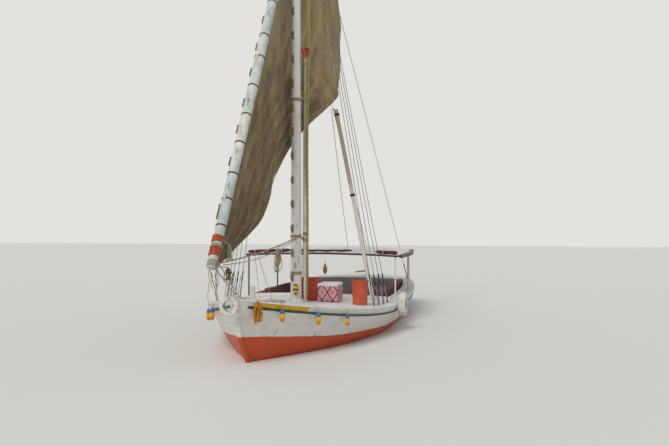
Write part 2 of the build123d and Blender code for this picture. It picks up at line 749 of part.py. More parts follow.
# Shrouds: chain plates on the deck, rigging screws, and the wires up to the band
PLATE_SPOTS = [(x, side * y) for side in (1, -1) for x, y in SHROUD_FEET]
with BuildPart() as chain_plates:
    for x, y in [*PLATE_SPOTS, BACKSTAY_FOOT]:
        with Locations((x, y, crown_z(x, y) - DECK_EDGE / 2)):
            Box(PLATE_LONG, PLATE_THICK, PLATE_TALL + DECK_EDGE / 2,
                align=(Align.CENTER, Align.CENTER, Align.MIN))
    for deck in (foredeck, afterdeck):
        add(deck.part, mode=Mode.SUBTRACT)
write("chain_plates", chain_plates.part)


def stay(x, y):
    """The straight line of one stay: just above its plate to just outside the band at the hounds."""
    away = Vector(x - MAST_X, y).normalized() * (mast_r(HOUNDS_Z) + HOUND_THICK + SHROUD_R + SEAT)
    top = Vector(MAST_X, 0, HOUNDS_Z) + away
    low = Vector(x, y, crown_z(x, y) + PLATE_TALL)
    way = (top - low).normalized()
    low = low + Vector(0, 0, SCREW_R * math.hypot(way.X, way.Y) + SEAT)
    return low, way, top


with BuildPart() as rigging_screws:
    for x, y in [*PLATE_SPOTS, BACKSTAY_FOOT]:
        low, way, _ = stay(x, y)
        add(rod(low, low + way * SCREW_LENGTH, SCREW_R))
write("rigging_screws", rigging_screws.part)

for name, spots in (
    ("shrouds_port", PLATE_SPOTS[: len(SHROUD_FEET)]),
    ("shrouds_starboard", PLATE_SPOTS[len(SHROUD_FEET):]),
    ("backstay", [BACKSTAY_FOOT]),
):
    with BuildPart() as wires:
        for x, y in spots:
            low, way, top = stay(x, y)
            add(rod(low + way * (SCREW_LENGTH + SEAT), top, SHROUD_R))
    write(name, wires.part)

# Awning: posts, arched hoops, straight rails between them, and the cloth over them


def hoop_z(y, half):
    """The middle height of a hoop at y."""
    return AWNING_Z + CANOPY_CROWN * (1 - (y / half) ** 2)


def arched_face(x, half, low, high):
    """A strip across the boat between two arcs that lie low and high of the hoop's middle line."""
    with BuildSketch(Plane.YZ.offset(x)) as sketch:
        with BuildLine():
            for rise in (low, high):
                ThreePointArc(
                    (-half, AWNING_Z + rise), (0, hoop_z(0, half) + rise), (half, AWNING_Z + rise)
                )
            for edge in (-half, half):
                Line((edge, AWNING_Z + low), (edge, AWNING_Z + high))
        make_face()
    return sketch.sketch.faces()[0]


with BuildPart() as awning_hoops:
    for x, half in HOOPS:
        face = arched_face(x - BAR_WIDE / 2, half, -BAR_DEEP / 2, BAR_DEEP / 2)
        extrude(face, amount=BAR_WIDE, dir=(1, 0, 0))
write("awning_hoops", awning_hoops.part)

with BuildPart() as awning_rails:
    for (x1, half1), (x2, half2) in zip(HOOPS, HOOPS[1:]):
        for side in (1, 0, -1):
            faces = []
            for x, half in ((x1 - BAR_WIDE / 2 - SEAT, half1), (x2 + BAR_WIDE / 2 + SEAT, half2)):
                y = side * (half - BAR_WIDE / 2)
                z = hoop_z(y, half)
                with BuildSketch(Plane.YZ.offset(x)) as end:
                    with Locations((y, z - BAR_DEEP / 6)):
                        Rectangle(BAR_WIDE, BAR_DEEP * 2 / 3)
                faces.append(end.sketch.faces()[0])
            loft(sections=faces, ruled=True)
write("awning_rails", awning_rails.part)

with BuildPart() as awning_posts:
    for x, half in HOOPS:
        for side in (1, -1):
            y = half - POST_INSET
            top = hoop_z(y + POST_R, half) - BAR_DEEP / 2 - SEAT
            low = crown_z(x, y) - DECK_EDGE / 4
            add(rod((x, side * y, low), (x, side * y, top), POST_R))
    for deck in (foredeck, side_decks, afterdeck):
        add(deck.part, mode=Mode.SUBTRACT)
write("awning_posts", awning_posts.part)

with BuildPart() as awning_canopy:
    low = BAR_DEEP / 2 + SEAT
    loft(sections=[arched_face(x, half, low, low + CANOPY_THICK) for x, half in HOOPS], ruled=True)
write("awning_canopy", awning_canopy.part)

CANOPY_TOP = BAR_DEEP / 2 + SEAT + CANOPY_THICK
with BuildPart() as awning_rolls:
    for low_y, high_y in FRONT_ROLLS:
        x, half = HOOPS[0]
        middle = (low_y + high_y) / 2
        lift = CANOPY_TOP + ROLL_R + SEAT
        route = [(x - ROLL_R, y, hoop_z(y, half) + lift) for y in (low_y, middle, high_y)]
        with BuildLine(mode=Mode.PRIVATE) as arch:
            ThreePointArc(*route)
        with BuildSketch(Plane(origin=route[0], z_dir=arch.line % 0)) as end:
            Circle(ROLL_R)
        sweep(sections=end.sketch, path=arch.line)
    for side in (1, -1):
        for (x1, half1), (x2, half2) in zip(HOOPS, HOOPS[1:]):
            taper = (half1 - half2) / (x1 - x2)
            out = (ROLL_R + SEAT) * math.hypot(1, taper) + taper * BAR_WIDE / 2
            start = (x1 - 2 * ROLL_R, side * (half1 - taper * 2 * ROLL_R + out), AWNING_Z)
            end = (x2 + ROLL_R / 2, side * (half2 + taper * ROLL_R / 2 + out), AWNING_Z)
            add(rod(start, end, ROLL_R))
write("awning_rolls", awning_rolls.part)

with BuildPart() as lantern:
    r, tall = LANTERN_R, LANTERN_TALL
    top = hoop_z(LANTERN_Y, HOOPS[0][1]) - BAR_DEEP / 2 - SEAT - LANTERN_BOTTOM
    profile = [
        (0, 0), (r * 0.3, 0.02 * tall), (r * 0.35, 0.1 * tall), (r * 0.85, 0.2 * tall),
        (r, 0.45 * tall), (r * 0.8, 0.68 * tall), (r * 0.4, 0.78 * tall), (r * 0.5, 0.84 * tall),
        (r * 0.12, tall), (LANTERN_CHAIN_R, tall), (LANTERN_CHAIN_R, top), (0, top),
    ]
    add(Pos(LANTERN_X, LANTERN_Y, LANTERN_BOTTOM) * lathe(profile))
write("lantern", lantern.part)


def deck_under(x, y, half_x, half_y):
    """The highest point of the deck under a footprint, with a seat's gap."""
    spots = [(x + a * half_x, y + b * half_y) for a in (-1, 0, 1) for b in (-1, 0, 1)]
    return max(crown_z(*spot) for spot in spots) + SEAT


def deck_under_ring(x, y, radius):
    """The highest point of the deck under a round foot, with a seat's gap."""
    spots = [Vector(x, y) + Vector(radius, 0).rotate(Axis.Z, turn) for turn in range(0, 360, 10)]
    return max(crown_z(spot.X, spot.Y) for spot in spots) + SEAT


# Square bin: tapered sides and a turned rim
with BuildPart() as square_bin:
    long, wide, tall = SQUARE_BIN_SIZE
    base = deck_under(*SQUARE_BIN, long / 2, wide / 2)
    for wall, floor, mode in ((0, 0, Mode.ADD), (BIN_WALL, BIN_WALL, Mode.SUBTRACT)):
        faces = []
        for z, shrink in ((base + floor, BIN_TAPER), (base + tall, 0)):
            with BuildSketch(Plane.XY.offset(z)) as layer:
                with Locations(SQUARE_BIN):
                    RectangleRounded(long - shrink - 2 * wall, wide - shrink - 2 * wall, BIN_TAPER)
            faces.append(layer.sketch.faces()[0])
        loft(sections=faces, ruled=True, mode=mode)
    with BuildSketch(Plane.XY.offset(base + tall - BIN_RIM), mode=Mode.PRIVATE) as rim:
        with Locations(SQUARE_BIN):
            RectangleRounded(long + BIN_RIM, wide + BIN_RIM, BIN_TAPER + BIN_RIM / 2)
            RectangleRounded(long - 2 * BIN_WALL, wide - 2 * BIN_WALL, BIN_TAPER, mode=Mode.SUBTRACT)
    extrude(rim.sketch, amount=BIN_RIM)
write("square_bin", square_bin.part)

with BuildPart() as round_bin:
    r, tall, wall = ROUND_BIN_R, ROUND_BIN_TALL, BIN_WALL
    foot_r = r - BIN_TAPER / 2
    profile = [
        (0, 0), (foot_r, 0), (r, tall - 2 * BIN_RIM), (r + BIN_RIM / 2, tall - 2 * BIN_RIM),
        (r + BIN_RIM / 2, tall), (r - wall, tall), (foot_r - wall, wall), (0, wall),
    ]
    add(Pos(*ROUND_BIN, deck_under_ring(*ROUND_BIN, foot_r)) * lathe(profile))
write("round_bin", round_bin.part)

pouffe_base = deck_under(*POUFFE, POUFFE_SIZE[0] / 2 - POUFFE_ROUND, POUFFE_SIZE[1] / 2 - POUFFE_ROUND)
pouffe = Pos(*POUFFE, pouffe_base + POUFFE_SIZE[2] / 2) * soft_block(*POUFFE_SIZE, POUFFE_ROUND)
write("pouffe", pouffe)

with BuildPart() as bitt:
    profile = [
        (0, 0), (BITT_FLANGE_R, 0), (BITT_FLANGE_R, BITT_FLANGE * 2 / 3),
        (BITT_FLANGE_R - BITT_FLANGE / 3, BITT_FLANGE), (BITT_R, BITT_FLANGE), (BITT_R, BITT_TALL - BITT_R / 4),
        (BITT_R * 3 / 4, BITT_TALL), (0, BITT_TALL),
    ]
    base = deck_under_ring(BITT_X, 0, BITT_FLANGE_R)
    add(Pos(BITT_X, 0, base) * lathe(profile))
write("bitt", bitt.part)

with BuildPart() as rope_coil:
    edge = COIL_TALL / 3
    profile = [
        (COIL_HOLE + edge, 0), (COIL_R - edge, 0), (COIL_R, edge), (COIL_R, COIL_TALL - edge),
        (COIL_R - edge, COIL_TALL), (COIL_HOLE + edge, COIL_TALL), (COIL_HOLE, COIL_TALL - edge),
        (COIL_HOLE, edge),
    ]
    add(Pos(*COIL, deck_under_ring(*COIL, COIL_R - edge)) * lathe(profile))
write("rope_coil", rope_coil.part)

with BuildPart() as mast_float:
    r, tall = FLOAT_R, FLOAT_TALL
    profile = [(0, 0), (r / 2, tall / 12), (r, tall / 3), (r, tall * 2 / 3), (r / 2, tall * 11 / 12), (0, tall)]
    x = MAST_X + math.sqrt((mast_r(FLOAT_Z - tall / 6) + r + SEAT) ** 2 - FLOAT_Y ** 2)
    add(Pos(x, FLOAT_Y, FLOAT_Z - tall / 2) * lathe(profile))
write("mast_float", mast_float.part)


def nosing_y(x):
    """How far out the deck's nosing is."""
    return sheer_y(x) + DECK_NOSE


def strake_y(x):
    """How far out the rubbing strake's upper corner is."""
    return strake_edge(x)[1][0]


def skin_y(x, z):
    """How far out the side is at a height, with the strake on it."""
    corners = strake_edge(x)
    for (y1, z1), (y2, z2) in zip(corners, corners[1:]):
        if z2 <= z <= z1:
            return y1 + (y2 - y1) * (z1 - z) / (z1 - z2)
    return side_y(x, z)


def float_r(height, profile):
    """A turned profile's radius at a height."""
    for (r1, z1), (r2, z2) in zip(profile, profile[1:]):
        if z1 <= height <= z2:
            return r1 + (r2 - r1) * (height - z1) / (z2 - z1)
    return 0


def outward(x, side, edge):
    """The level direction straight out from an edge line at x."""
    run = (edge(x + 50) - edge(x - 50)) / 100
    return Vector(-run, side, 0).normalized()


def against(x, side, edge, out, z):
    """A point at height z that lies so far out, square to an edge line, from it."""
    return Vector(x, side * edge(x), z) + outward(x, side, edge) * (out + SEAT)


# Floats as small fenders, each hung so low that its shoulder leans on the rubbing strake
with BuildPart() as fenders:
    r, tall = FENDER_R, FENDER_TALL
    profile = [(0, 0), (r / 2, tall / 20), (r, tall / 5), (r, tall * 4 / 5), (r / 2, tall * 19 / 20), (0, tall)]
    for x, side in FENDERS:
        low = strake_top(x) - FENDER_DROP - tall / 2
        lean = outward(x, 1, strake_y).Y
        marks = [tall * k / FENDER_STEPS for k in range(FENDER_STEPS + 1)]
        marks += [z - low for _, z in strake_edge(x) if z < low + tall]
        reaches = [skin_y(x, low + mark) + float_r(mark, profile) / lean for mark in marks]
        add(Pos(x, side * (max(reaches) + FENDER_GAP), low) * lathe(profile))
write("fenders", fenders.part)


def tyre(outer, hole, wide, wall):
    """A tyre about the Z axis: tread, two side walls and beads, hollow inside."""
    half = wide / 2
    shoulder = wide / 5
    profile = [
        (hole, -half + shoulder), (hole + shoulder / 2, -half), (outer - shoulder, -half),
        (outer, -half + shoulder), (outer, half - shoulder), (outer - shoulder, half),
        (hole + shoulder / 2, half), (hole, half - shoulder),
        (hole + wall, half - shoulder), (hole + shoulder / 2, half - wall),
        (outer - shoulder, half - wall), (outer - wall, half - shoulder),
        (outer - wall, -half + shoulder), (outer - shoulder, -half + wall),
        (hole + shoulder / 2, -half + wall), (hole + wall, -half + shoulder),
    ]
    return lathe(profile)


tyre_rim = BOW_TYRE_R - BOW_TYRE_WIDE / 5
tyre_top = BOW_TYRE_Z + math.sqrt(tyre_rim ** 2 - (abs(BOW_TYRE_Y) - RABBET_HALF) ** 2)
stem_lean = (STEM_HEAD[0] - STEM_KNUCKLE[0]) / (STEM_HEAD[1] - STEM_KNUCKLE[1])
tyre_x = STEM_HEAD[0] + (tyre_top - STEM_HEAD[1]) * stem_lean + BOW_TYRE_WIDE / 2 + SEAT
bow_tyre = tyre(BOW_TYRE_R, BOW_TYRE_HOLE, BOW_TYRE_WIDE, TYRE_WALL)
bow_tyre = Pos(tyre_x, BOW_TYRE_Y, BOW_TYRE_Z) * Rot(0, 90, 0) * bow_tyre
write("bow_tyre", bow_tyre)

tyre_sheer = max(sheer_y(SIDE_TYRE_X + reach) for reach in (-SIDE_TYRE_R, 0, SIDE_TYRE_R))
tyre_y = tyre_sheer + DECK_NOSE + SIDE_TYRE_WIDE / 2 + SEAT
side_tyre = tyre(SIDE_TYRE_R, SIDE_TYRE_HOLE, SIDE_TYRE_WIDE, TYRE_WALL)
side_tyre = Pos(SIDE_TYRE_X, tyre_y, SIDE_TYRE_Z) * Rot(90, 0, 0) * side_tyre
write("side_tyre", side_tyre)

with BuildPart() as rope_hank:
    out = outward(HANK_X, 1, nosing_y)
    spot = against(HANK_X, 1, nosing_y, HANK_THICK / 2, sheer_z(HANK_X))
    top = spot + Vector(0, 0, HANK_TOP)
    with BuildSketch(Plane(origin=top, x_dir=Vector(0, 0, 1).cross(out), z_dir=(0, 0, -1))):
        RectangleRounded(HANK_WIDE, HANK_THICK, HANK_THICK / 3)
    extrude(amount=HANK_TALL)
write("rope_hank", rope_hank.part)

# Rudder: the blade hangs on pins in eyes on the stern post
with BuildPart() as gudgeons:
    for z in GUDGEONS:
        with Locations((RUDDER_AXIS_X, 0, z)):
            Cylinder(EYE_R, EYE_TALL)
            Cylinder(PIN_R + PIN_CLEAR, 2 * EYE_TALL, mode=Mode.SUBTRACT)
        arm = KEEL_AFT_X - RUDDER_AXIS_X
        gap = (EYE_R + PIN_R) / 2
        with Locations(((KEEL_AFT_X + RUDDER_AXIS_X + gap) / 2 - SEAT / 2, 0, z)):
            Box(arm - gap - SEAT, 2 * PIN_R, EYE_TALL)
write("gudgeons", gudgeons.part)

LEAD_X = RUDDER_AXIS_X - RUDDER_LEAD
with BuildPart() as rudder:
    with BuildSketch(Plane.XZ):
        with BuildLine():
            Polyline(
                (LEAD_X, RUDDER_TOP),
                (LEAD_X, RUDDER_BOTTOM),
                (LEAD_X - RUDDER_WIDE * 0.75, RUDDER_BOTTOM),
            )
            ThreePointArc(
                (LEAD_X - RUDDER_WIDE * 0.75, RUDDER_BOTTOM),
                (LEAD_X - RUDDER_WIDE * 0.97, RUDDER_BOTTOM * 0.6),
                (LEAD_X - RUDDER_WIDE, 0),
            )
            ThreePointArc(
                (LEAD_X - RUDDER_WIDE, 0),
                (LEAD_X - RUDDER_WIDE * 0.6, RUDDER_SHOULDER * 0.7),
                (LEAD_X - RUDDER_HEAD_WIDE, RUDDER_SHOULDER),
            )
            Polyline(
                (LEAD_X - RUDDER_HEAD_WIDE, RUDDER_SHOULDER),
                (LEAD_X - RUDDER_HEAD_WIDE * 0.8, RUDDER_TOP),
                (LEAD_X, RUDDER_TOP),
            )
        make_face()
    extrude(amount=RUDDER_THICK / 2, both=True)
    with Locations((LEAD_X, 0, TILLER_Z)):
        Box(3 * RUDDER_HEAD_WIDE, TILLER_SIDE * 0.6, TILLER_SIDE, mode=Mode.SUBTRACT)
write("rudder", rudder.part)

with BuildPart() as pintles:
    for z in GUDGEONS:
        low = z + EYE_TALL / 2 + PIN_GAP
        with BuildSketch(Plane.XY.offset(low)):
            with Locations((RUDDER_AXIS_X, 0)):
                Circle(RUDDER_THICK / 2 + STRAP_THICK)
            with Locations((RUDDER_AXIS_X - STRAP_LONG / 2, 0)):
                Rectangle(STRAP_LONG, RUDDER_THICK + 2 * STRAP_THICK)
            with Locations((LEAD_X + SEAT - STRAP_LONG, 0)):
                Rectangle(2 * STRAP_LONG, RUDDER_THICK + 2 * SEAT, mode=Mode.SUBTRACT)
        extrude(amount=STRAP_TALL)
        with Locations((RUDDER_AXIS_X, 0, low + STRAP_TALL / 2)):
            Cylinder(PIN_R, EYE_TALL + STRAP_TALL / 2 + 2 * PIN_GAP,
                     align=(Align.CENTER, Align.CENTER, Align.MAX))
write("pintles", pintles.part)

# Tiller: a tapered bar through the slot in the rudder's head, forward over the afterdeck
with BuildPart() as tiller:
    faces = []
    back = LEAD_X - RUDDER_HEAD_WIDE - TILLER_SIDE
    for x, side, z in (
        (back, TILLER_SIDE, TILLER_Z),
        (LEAD_X + TILLER_SIDE, TILLER_SIDE, TILLER_Z),
        (back + TILLER_LENGTH + RUDDER_HEAD_WIDE, TILLER_NARROW, TILLER_Z + TILLER_SIDE),
    ):
        with BuildSketch(Plane.YZ.offset(x)) as end:
            with Locations((0, z)):
                Rectangle(side * 0.6 - 2 * SEAT, side - 2 * SEAT)
        faces.append(end.sketch.faces()[0])
    loft(sections=faces, ruled=True)
write("tiller", tiller.part)
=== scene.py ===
# %% [markdown]
# This is a felucca, a Nile sailing boat at its mooring. The solids of its hull, spars and fittings
# come from CAD, and this lesson adds what CAD leaves out: paint, cloth, rope and wear. Everything
# is in one frame: metres, x towards the bow, y to port and z up from the waterline.

import math

import bmesh
import bpy
import numpy as np
from mathutils import Matrix, Vector
from mathutils.bvhtree import BVHTree


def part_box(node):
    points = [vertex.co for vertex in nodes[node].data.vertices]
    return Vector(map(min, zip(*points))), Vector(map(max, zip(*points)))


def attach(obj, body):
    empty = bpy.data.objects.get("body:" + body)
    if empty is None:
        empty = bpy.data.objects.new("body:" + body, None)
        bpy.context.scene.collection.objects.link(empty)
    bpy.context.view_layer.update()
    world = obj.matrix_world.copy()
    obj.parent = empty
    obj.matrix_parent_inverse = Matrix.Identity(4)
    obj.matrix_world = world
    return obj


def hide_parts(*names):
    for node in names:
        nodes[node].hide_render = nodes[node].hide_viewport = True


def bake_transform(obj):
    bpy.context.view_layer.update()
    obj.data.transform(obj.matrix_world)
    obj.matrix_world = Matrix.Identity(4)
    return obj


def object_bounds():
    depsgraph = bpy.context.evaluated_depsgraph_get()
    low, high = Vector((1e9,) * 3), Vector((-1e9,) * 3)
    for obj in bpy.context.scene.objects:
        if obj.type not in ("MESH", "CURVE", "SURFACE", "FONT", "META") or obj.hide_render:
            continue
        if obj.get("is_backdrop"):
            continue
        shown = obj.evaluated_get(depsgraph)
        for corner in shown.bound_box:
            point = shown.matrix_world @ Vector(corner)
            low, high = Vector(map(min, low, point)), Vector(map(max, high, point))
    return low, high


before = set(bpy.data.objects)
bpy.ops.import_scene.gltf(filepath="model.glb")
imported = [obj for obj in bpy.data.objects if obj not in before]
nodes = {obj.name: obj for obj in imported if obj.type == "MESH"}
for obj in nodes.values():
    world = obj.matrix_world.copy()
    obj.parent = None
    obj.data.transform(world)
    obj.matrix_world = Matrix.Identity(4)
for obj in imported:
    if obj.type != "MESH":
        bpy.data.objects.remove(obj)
cad_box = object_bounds()
MAST_X = 2.354
print("box of the solids", [[round(v, 3) for v in corner] for corner in cad_box])

# %% [markdown]
# Every colour here is written as a hex value, the way a painter would note it from a swatch.
# Blender's shaders want linear light, so one function turns the one into the other. One more
# function adds a node with its settings and its links, and every material and every Geometry
# Nodes tree here is built with it.

# %% Colour and nodes


def linear(hex_colour):
    """An sRGB hex colour as linear RGBA."""
    parts = [int(hex_colour[i:i + 2], 16) / 255 for i in (1, 3, 5)]
    return (*[((c + 0.055) / 1.055) ** 2.4 if c > 0.04045 else c / 12.92 for c in parts], 1.0)


def add(tree, kind, *inputs, **settings):
    """One node. Its inputs are one dict by name, or values in the order that its panel shows them."""
    node = tree.nodes.new(kind)
    for name, value in settings.items():
        setattr(node, name, value)
    if inputs and isinstance(inputs[0], dict):
        pairs = [(node.inputs[key], value) for key, value in inputs[0].items()]
    else:
        pairs = zip([socket for socket in node.inputs if socket.enabled], inputs)
    for socket, value in pairs:
        if isinstance(value, bpy.types.NodeSocket):
            tree.links.new(value, socket)
        else:
            is_colour = isinstance(value, str) and value.startswith("#")
            socket.default_value = linear(value) if is_colour else value
    return node


print("white paint in linear light", [round(part, 3) for part in linear("#DCD9D3")])

# %% [markdown]
# The camera comes first. It stands on a low bank off the port bow, 2.7 m above the water, and
# looks slightly up at the rig. The image is 669 by 446 and the lens was found from the hull's edges.

# %% Camera
EYE = Vector((17.45, 4.87, 2.7))
AIM_TURN = math.radians(104.43)
AIM_RISE = math.radians(0.437)
camera_data = bpy.data.cameras.new("bank_camera")
camera_data.lens = 34.25
camera_data.sensor_width = 36
camera_data.clip_end = 400
camera = bpy.data.objects.new("bank_camera", camera_data)
bpy.context.scene.collection.objects.link(camera)
camera.location = EYE
camera.rotation_euler = (math.radians(90) + AIM_RISE, 0, AIM_TURN)
bpy.context.scene.camera = camera
print("camera looks along", [round(v, 3) for v in camera.rotation_euler.to_matrix() @ Vector((0, 0, -1))])

# %% [markdown]
# The boat floats, so the floor of the studio is the water's surface, plain and pale. The light
# is a wide soft sun and an even sky. The sky that the camera and the gloss see is paler than
# the one that lights the boat, which keeps the whites from burning out.

# %% Floor and light
GROUND = "#D9D7D2"
bpy.context.scene.view_settings.view_transform = "Standard"
bpy.ops.mesh.primitive_plane_add(size=160, location=(0, 0, 0))
floor = bpy.context.object
floor.name = "studio_floor"
ground = bpy.data.materials.new("studio_floor_paint")
ground.use_nodes = True
ground_shader = ground.node_tree.nodes["Principled BSDF"]
ground_shader.inputs["Base Color"].default_value = linear(GROUND)
ground_shader.inputs["Roughness"].default_value = 0.75
ground_shader.inputs["Specular IOR Level"].default_value = 0.2
floor.data.materials.append(ground)
floor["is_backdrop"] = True

sky = bpy.data.worlds.new("studio_sky")
bpy.context.scene.world = sky
sky.use_nodes = True
tree = sky.node_tree
tree.nodes.clear()
seen = add(tree, "ShaderNodeLightPath")
any_ray = add(tree, "ShaderNodeMath", seen.outputs["Is Camera Ray"], seen.outputs["Is Glossy Ray"],
              operation="MAXIMUM")
any_ray = add(tree, "ShaderNodeMath", any_ray.outputs[0], seen.outputs["Is Transmission Ray"],
              operation="MAXIMUM")
lit = add(tree, "ShaderNodeBackground", "#E9EEF4", 0.62)
shown = add(tree, "ShaderNodeBackground", "#ECEAE6", 0.92)
both = add(tree, "ShaderNodeMixShader", any_ray.outputs[0], lit.outputs[0], shown.outputs[0])
add(tree, "ShaderNodeOutputWorld", both.outputs[0])

sun_data = bpy.data.lights.new("soft_sun", "SUN")
sun_data.energy = 1.75
sun_data.angle = math.radians(24)
sun_data.color = (1.0, 0.965, 0.92)
sun = bpy.data.objects.new("soft_sun", sun_data)
bpy.context.scene.collection.objects.link(sun)
sun.rotation_euler = (math.radians(42), math.radians(18), math.radians(62))
print("sun", sun_data.energy, "W/m2 over", round(math.degrees(sun_data.angle)), "degrees")

# %% [markdown]
# A painted boat is never one flat colour. Each finish starts from the same few parts: the
# shader, the object's own coordinates in metres, soft blotches of wear, masks that say where a
# coat lies, and a bump. They could be set up anew for each material. This class does it once, in
# a painter's steps, and each material after it says what its real surface is.

# %% What every finish starts from


class Finish:
    """A material in the making, with its coordinates and its shader."""

    def __init__(self, name, roughness, metallic=0.0):
        self.material = bpy.data.materials.new(name)
        self.material.use_nodes = True
        self.tree = self.material.node_tree
        self.shader = self.tree.nodes["Principled BSDF"]
        self.shader.inputs["Roughness"].default_value = roughness
        self.shader.inputs["Metallic"].default_value = metallic
        self.place = self.add("ShaderNodeTexCoord", out="Object")
        self.x, self.y, self.z = add(self.tree, "ShaderNodeSeparateXYZ", self.place).outputs

    def add(self, kind, *inputs, out=None, **settings):
        """A node of this material: the output asked for, or else the first that it shows."""
        node = add(self.tree, kind, *inputs, **settings)
        return node.outputs[out] if out else next(socket for socket in node.outputs if socket.enabled)

    def blotch(self, size, detail=4.0, stretch=(1, 1, 1), lean=0.5):
        """Noise from 0 to 1 whose patches are about size metres wide."""
        place = self.add("ShaderNodeMapping", {"Vector": self.place, "Scale": stretch})
        return self.add("ShaderNodeTexNoise", {"Vector": place, "Scale": 1 / size, "Detail": detail,
                                               "Roughness": lean})

    def mask(self, *edges, share=None):
        """Soft edges multiplied together. Each is (value, low, high) and, if not 0 and 1, its ends."""
        for edge in edges:
            step = self.add("ShaderNodeMapRange", *edge, interpolation_type="SMOOTHSTEP")
            share = step if share is None else self.add("ShaderNodeMath", share, step, operation="MULTIPLY")
        return share

    def patches(self, size, low, high, detail=4.0, stretch=(1, 1, 1), lean=0.5, start=0.0, end=1.0):
        """Blotches as a mask: start where their noise is under low, and end where it is over high."""
        return self.mask((self.blotch(size, detail, stretch, lean), low, high, start, end))

    def waves(self, value, pitch):
        """A wave from -1 to 1 that comes again every pitch metres."""
        turn = self.add("ShaderNodeMath", value, 2 * math.pi / pitch, operation="MULTIPLY")
        return self.add("ShaderNodeMath", turn, operation="SINE")

    def off_middle(self, value, pitch, shift=0.0):
        """How far a value is from the middle of its course, from 0 to 0.5. A course is pitch wide."""
        course = self.add("ShaderNodeMath", value, 1 / pitch, shift / pitch, operation="MULTIPLY_ADD")
        course = self.add("ShaderNodeMath", course, operation="FRACT")
        course = self.add("ShaderNodeMath", course, 0.5, operation="SUBTRACT")
        return self.add("ShaderNodeMath", course, operation="ABSOLUTE")

    def coat(self, under, over, share, most=1.0):
        """A colour laid over another: share says where, and most how thickly."""
        thick = self.add("ShaderNodeMath", share, most, operation="MULTIPLY")
        return self.add("ShaderNodeMix", thick, under, over, data_type="RGBA")

    def surface(self, colour, height=None, millimetres=1.0, roughness=None):
        """Lead the colour to the shader, with a height as its bump and a roughness of its own."""
        self.tree.links.new(colour, self.shader.inputs["Base Color"])
        if height is not None:
            bump = self.add("ShaderNodeBump",
                            {"Height": height, "Distance": millimetres / 1000, "Strength": 0.8})
            self.tree.links.new(bump, self.shader.inputs["Normal"])
        if roughness is not None:
            self.tree.links.new(roughness, self.shader.inputs["Roughness"])

    def dress(self, *names):
        """Put the finish on the solids with these names."""
        for name in names:
            slots = nodes[name].data.materials
            slots.clear()
            slots.append(self.material)
        print(self.material.name, "on", ", ".join(names))


print("a finish has", ", ".join(name for name in vars(Finish) if not name.startswith("_")))

# %% [markdown]
# The hull is planked and painted with brush and roller: off-white topsides over an orange-red
# bottom. The line between the two sweeps up towards the stem, so its height is a curve over the
# boat's length. Plank seams follow that same sweep. Grime gathers near the water and rust runs
# from fastenings, and both are noise stretched downward.

# %% Hull paint
WHITE, RED, GREEN, YELLOW = "#DCD9D3", "#C24A1E", "#163D2B", "#D9A316"
# Columns: x in metres, height of the red paint's edge
PAINT_EDGE = [(-6.3, 0.24), (0.9, 0.205), (2.52, 0.257), (3.62, 0.31), (4.72, 0.43), (5.52, 0.53),
              (6.3, 0.62)]
PAINT_SPAN = 12.6
PLANK = 0.145
STRIP_FROM, STRIP_TO = 4.82, 5.82


def painted_planks(finish, low=RED, high=WHITE):
    """The two paints with their seams, as (colour, height) sockets."""
    along = finish.add("ShaderNodeMath", finish.x, 1 / PAINT_SPAN, 0.5, operation="MULTIPLY_ADD")
    curve = add(finish.tree, "ShaderNodeFloatCurve", {"Value": along})
    points = curve.mapping.curves[0].points
    while len(points) < len(PAINT_EDGE):
        points.new(0.5, 0.5)
    for point, (x, z) in zip(points, PAINT_EDGE):
        point.location = (x / PAINT_SPAN + 0.5, z)
    curve.mapping.update()
    edge_z = finish.add("ShaderNodeMath", finish.blotch(0.35, 2), 0.02, curve.outputs[0],
                        operation="MULTIPLY_ADD")
    edge_z = finish.add("ShaderNodeMath", edge_z, 0.01, operation="SUBTRACT")
    above = finish.add("ShaderNodeMath", finish.z, edge_z, operation="SUBTRACT")
    edge = finish.mask((above, -0.004, 0.004))
    seam = finish.mask((finish.off_middle(above, PLANK, 2.0), 0.0, 0.035, 1, 0))
    worn = finish.patches(0.22, 0.52, 0.74, 8, lean=0.62)
    runs = finish.patches(0.11, 0.56, 0.76, 7, (1, 1, 0.14), 0.6)
    white = finish.coat(high, "#BDB9B0", worn, 0.45)
    white = finish.coat(white, "#8F8776", runs, 0.38)
    splashed = finish.mask((above, 0.0, 0.16, 0.5, 0.0), share=worn)
    white = finish.coat(white, "#7B6F5E", splashed)
    red = finish.coat(low, "#C65B33", worn, 0.6)
    red = finish.coat(red, "#7E2B18", runs, 0.5)
    wet = finish.mask((finish.z, -0.02, 0.07, 0.6, 0.0))
    red = finish.coat(red, "#6B2A1A", wet)
    both = finish.coat(red, white, edge)
    both = finish.coat(both, "#6A4A3C", seam, 0.2)
    height = finish.add("ShaderNodeMath", seam, -1.2, finish.blotch(0.03, 5), operation="MULTIPLY_ADD")
    return both, height


# Brushed alkyd paint: soft sheen, worn patches and seams, so the eye reads old planks under it
hull_paint = Finish("brushed_alkyd_hull_paint", 0.42)
paint, relief = painted_planks(hull_paint)
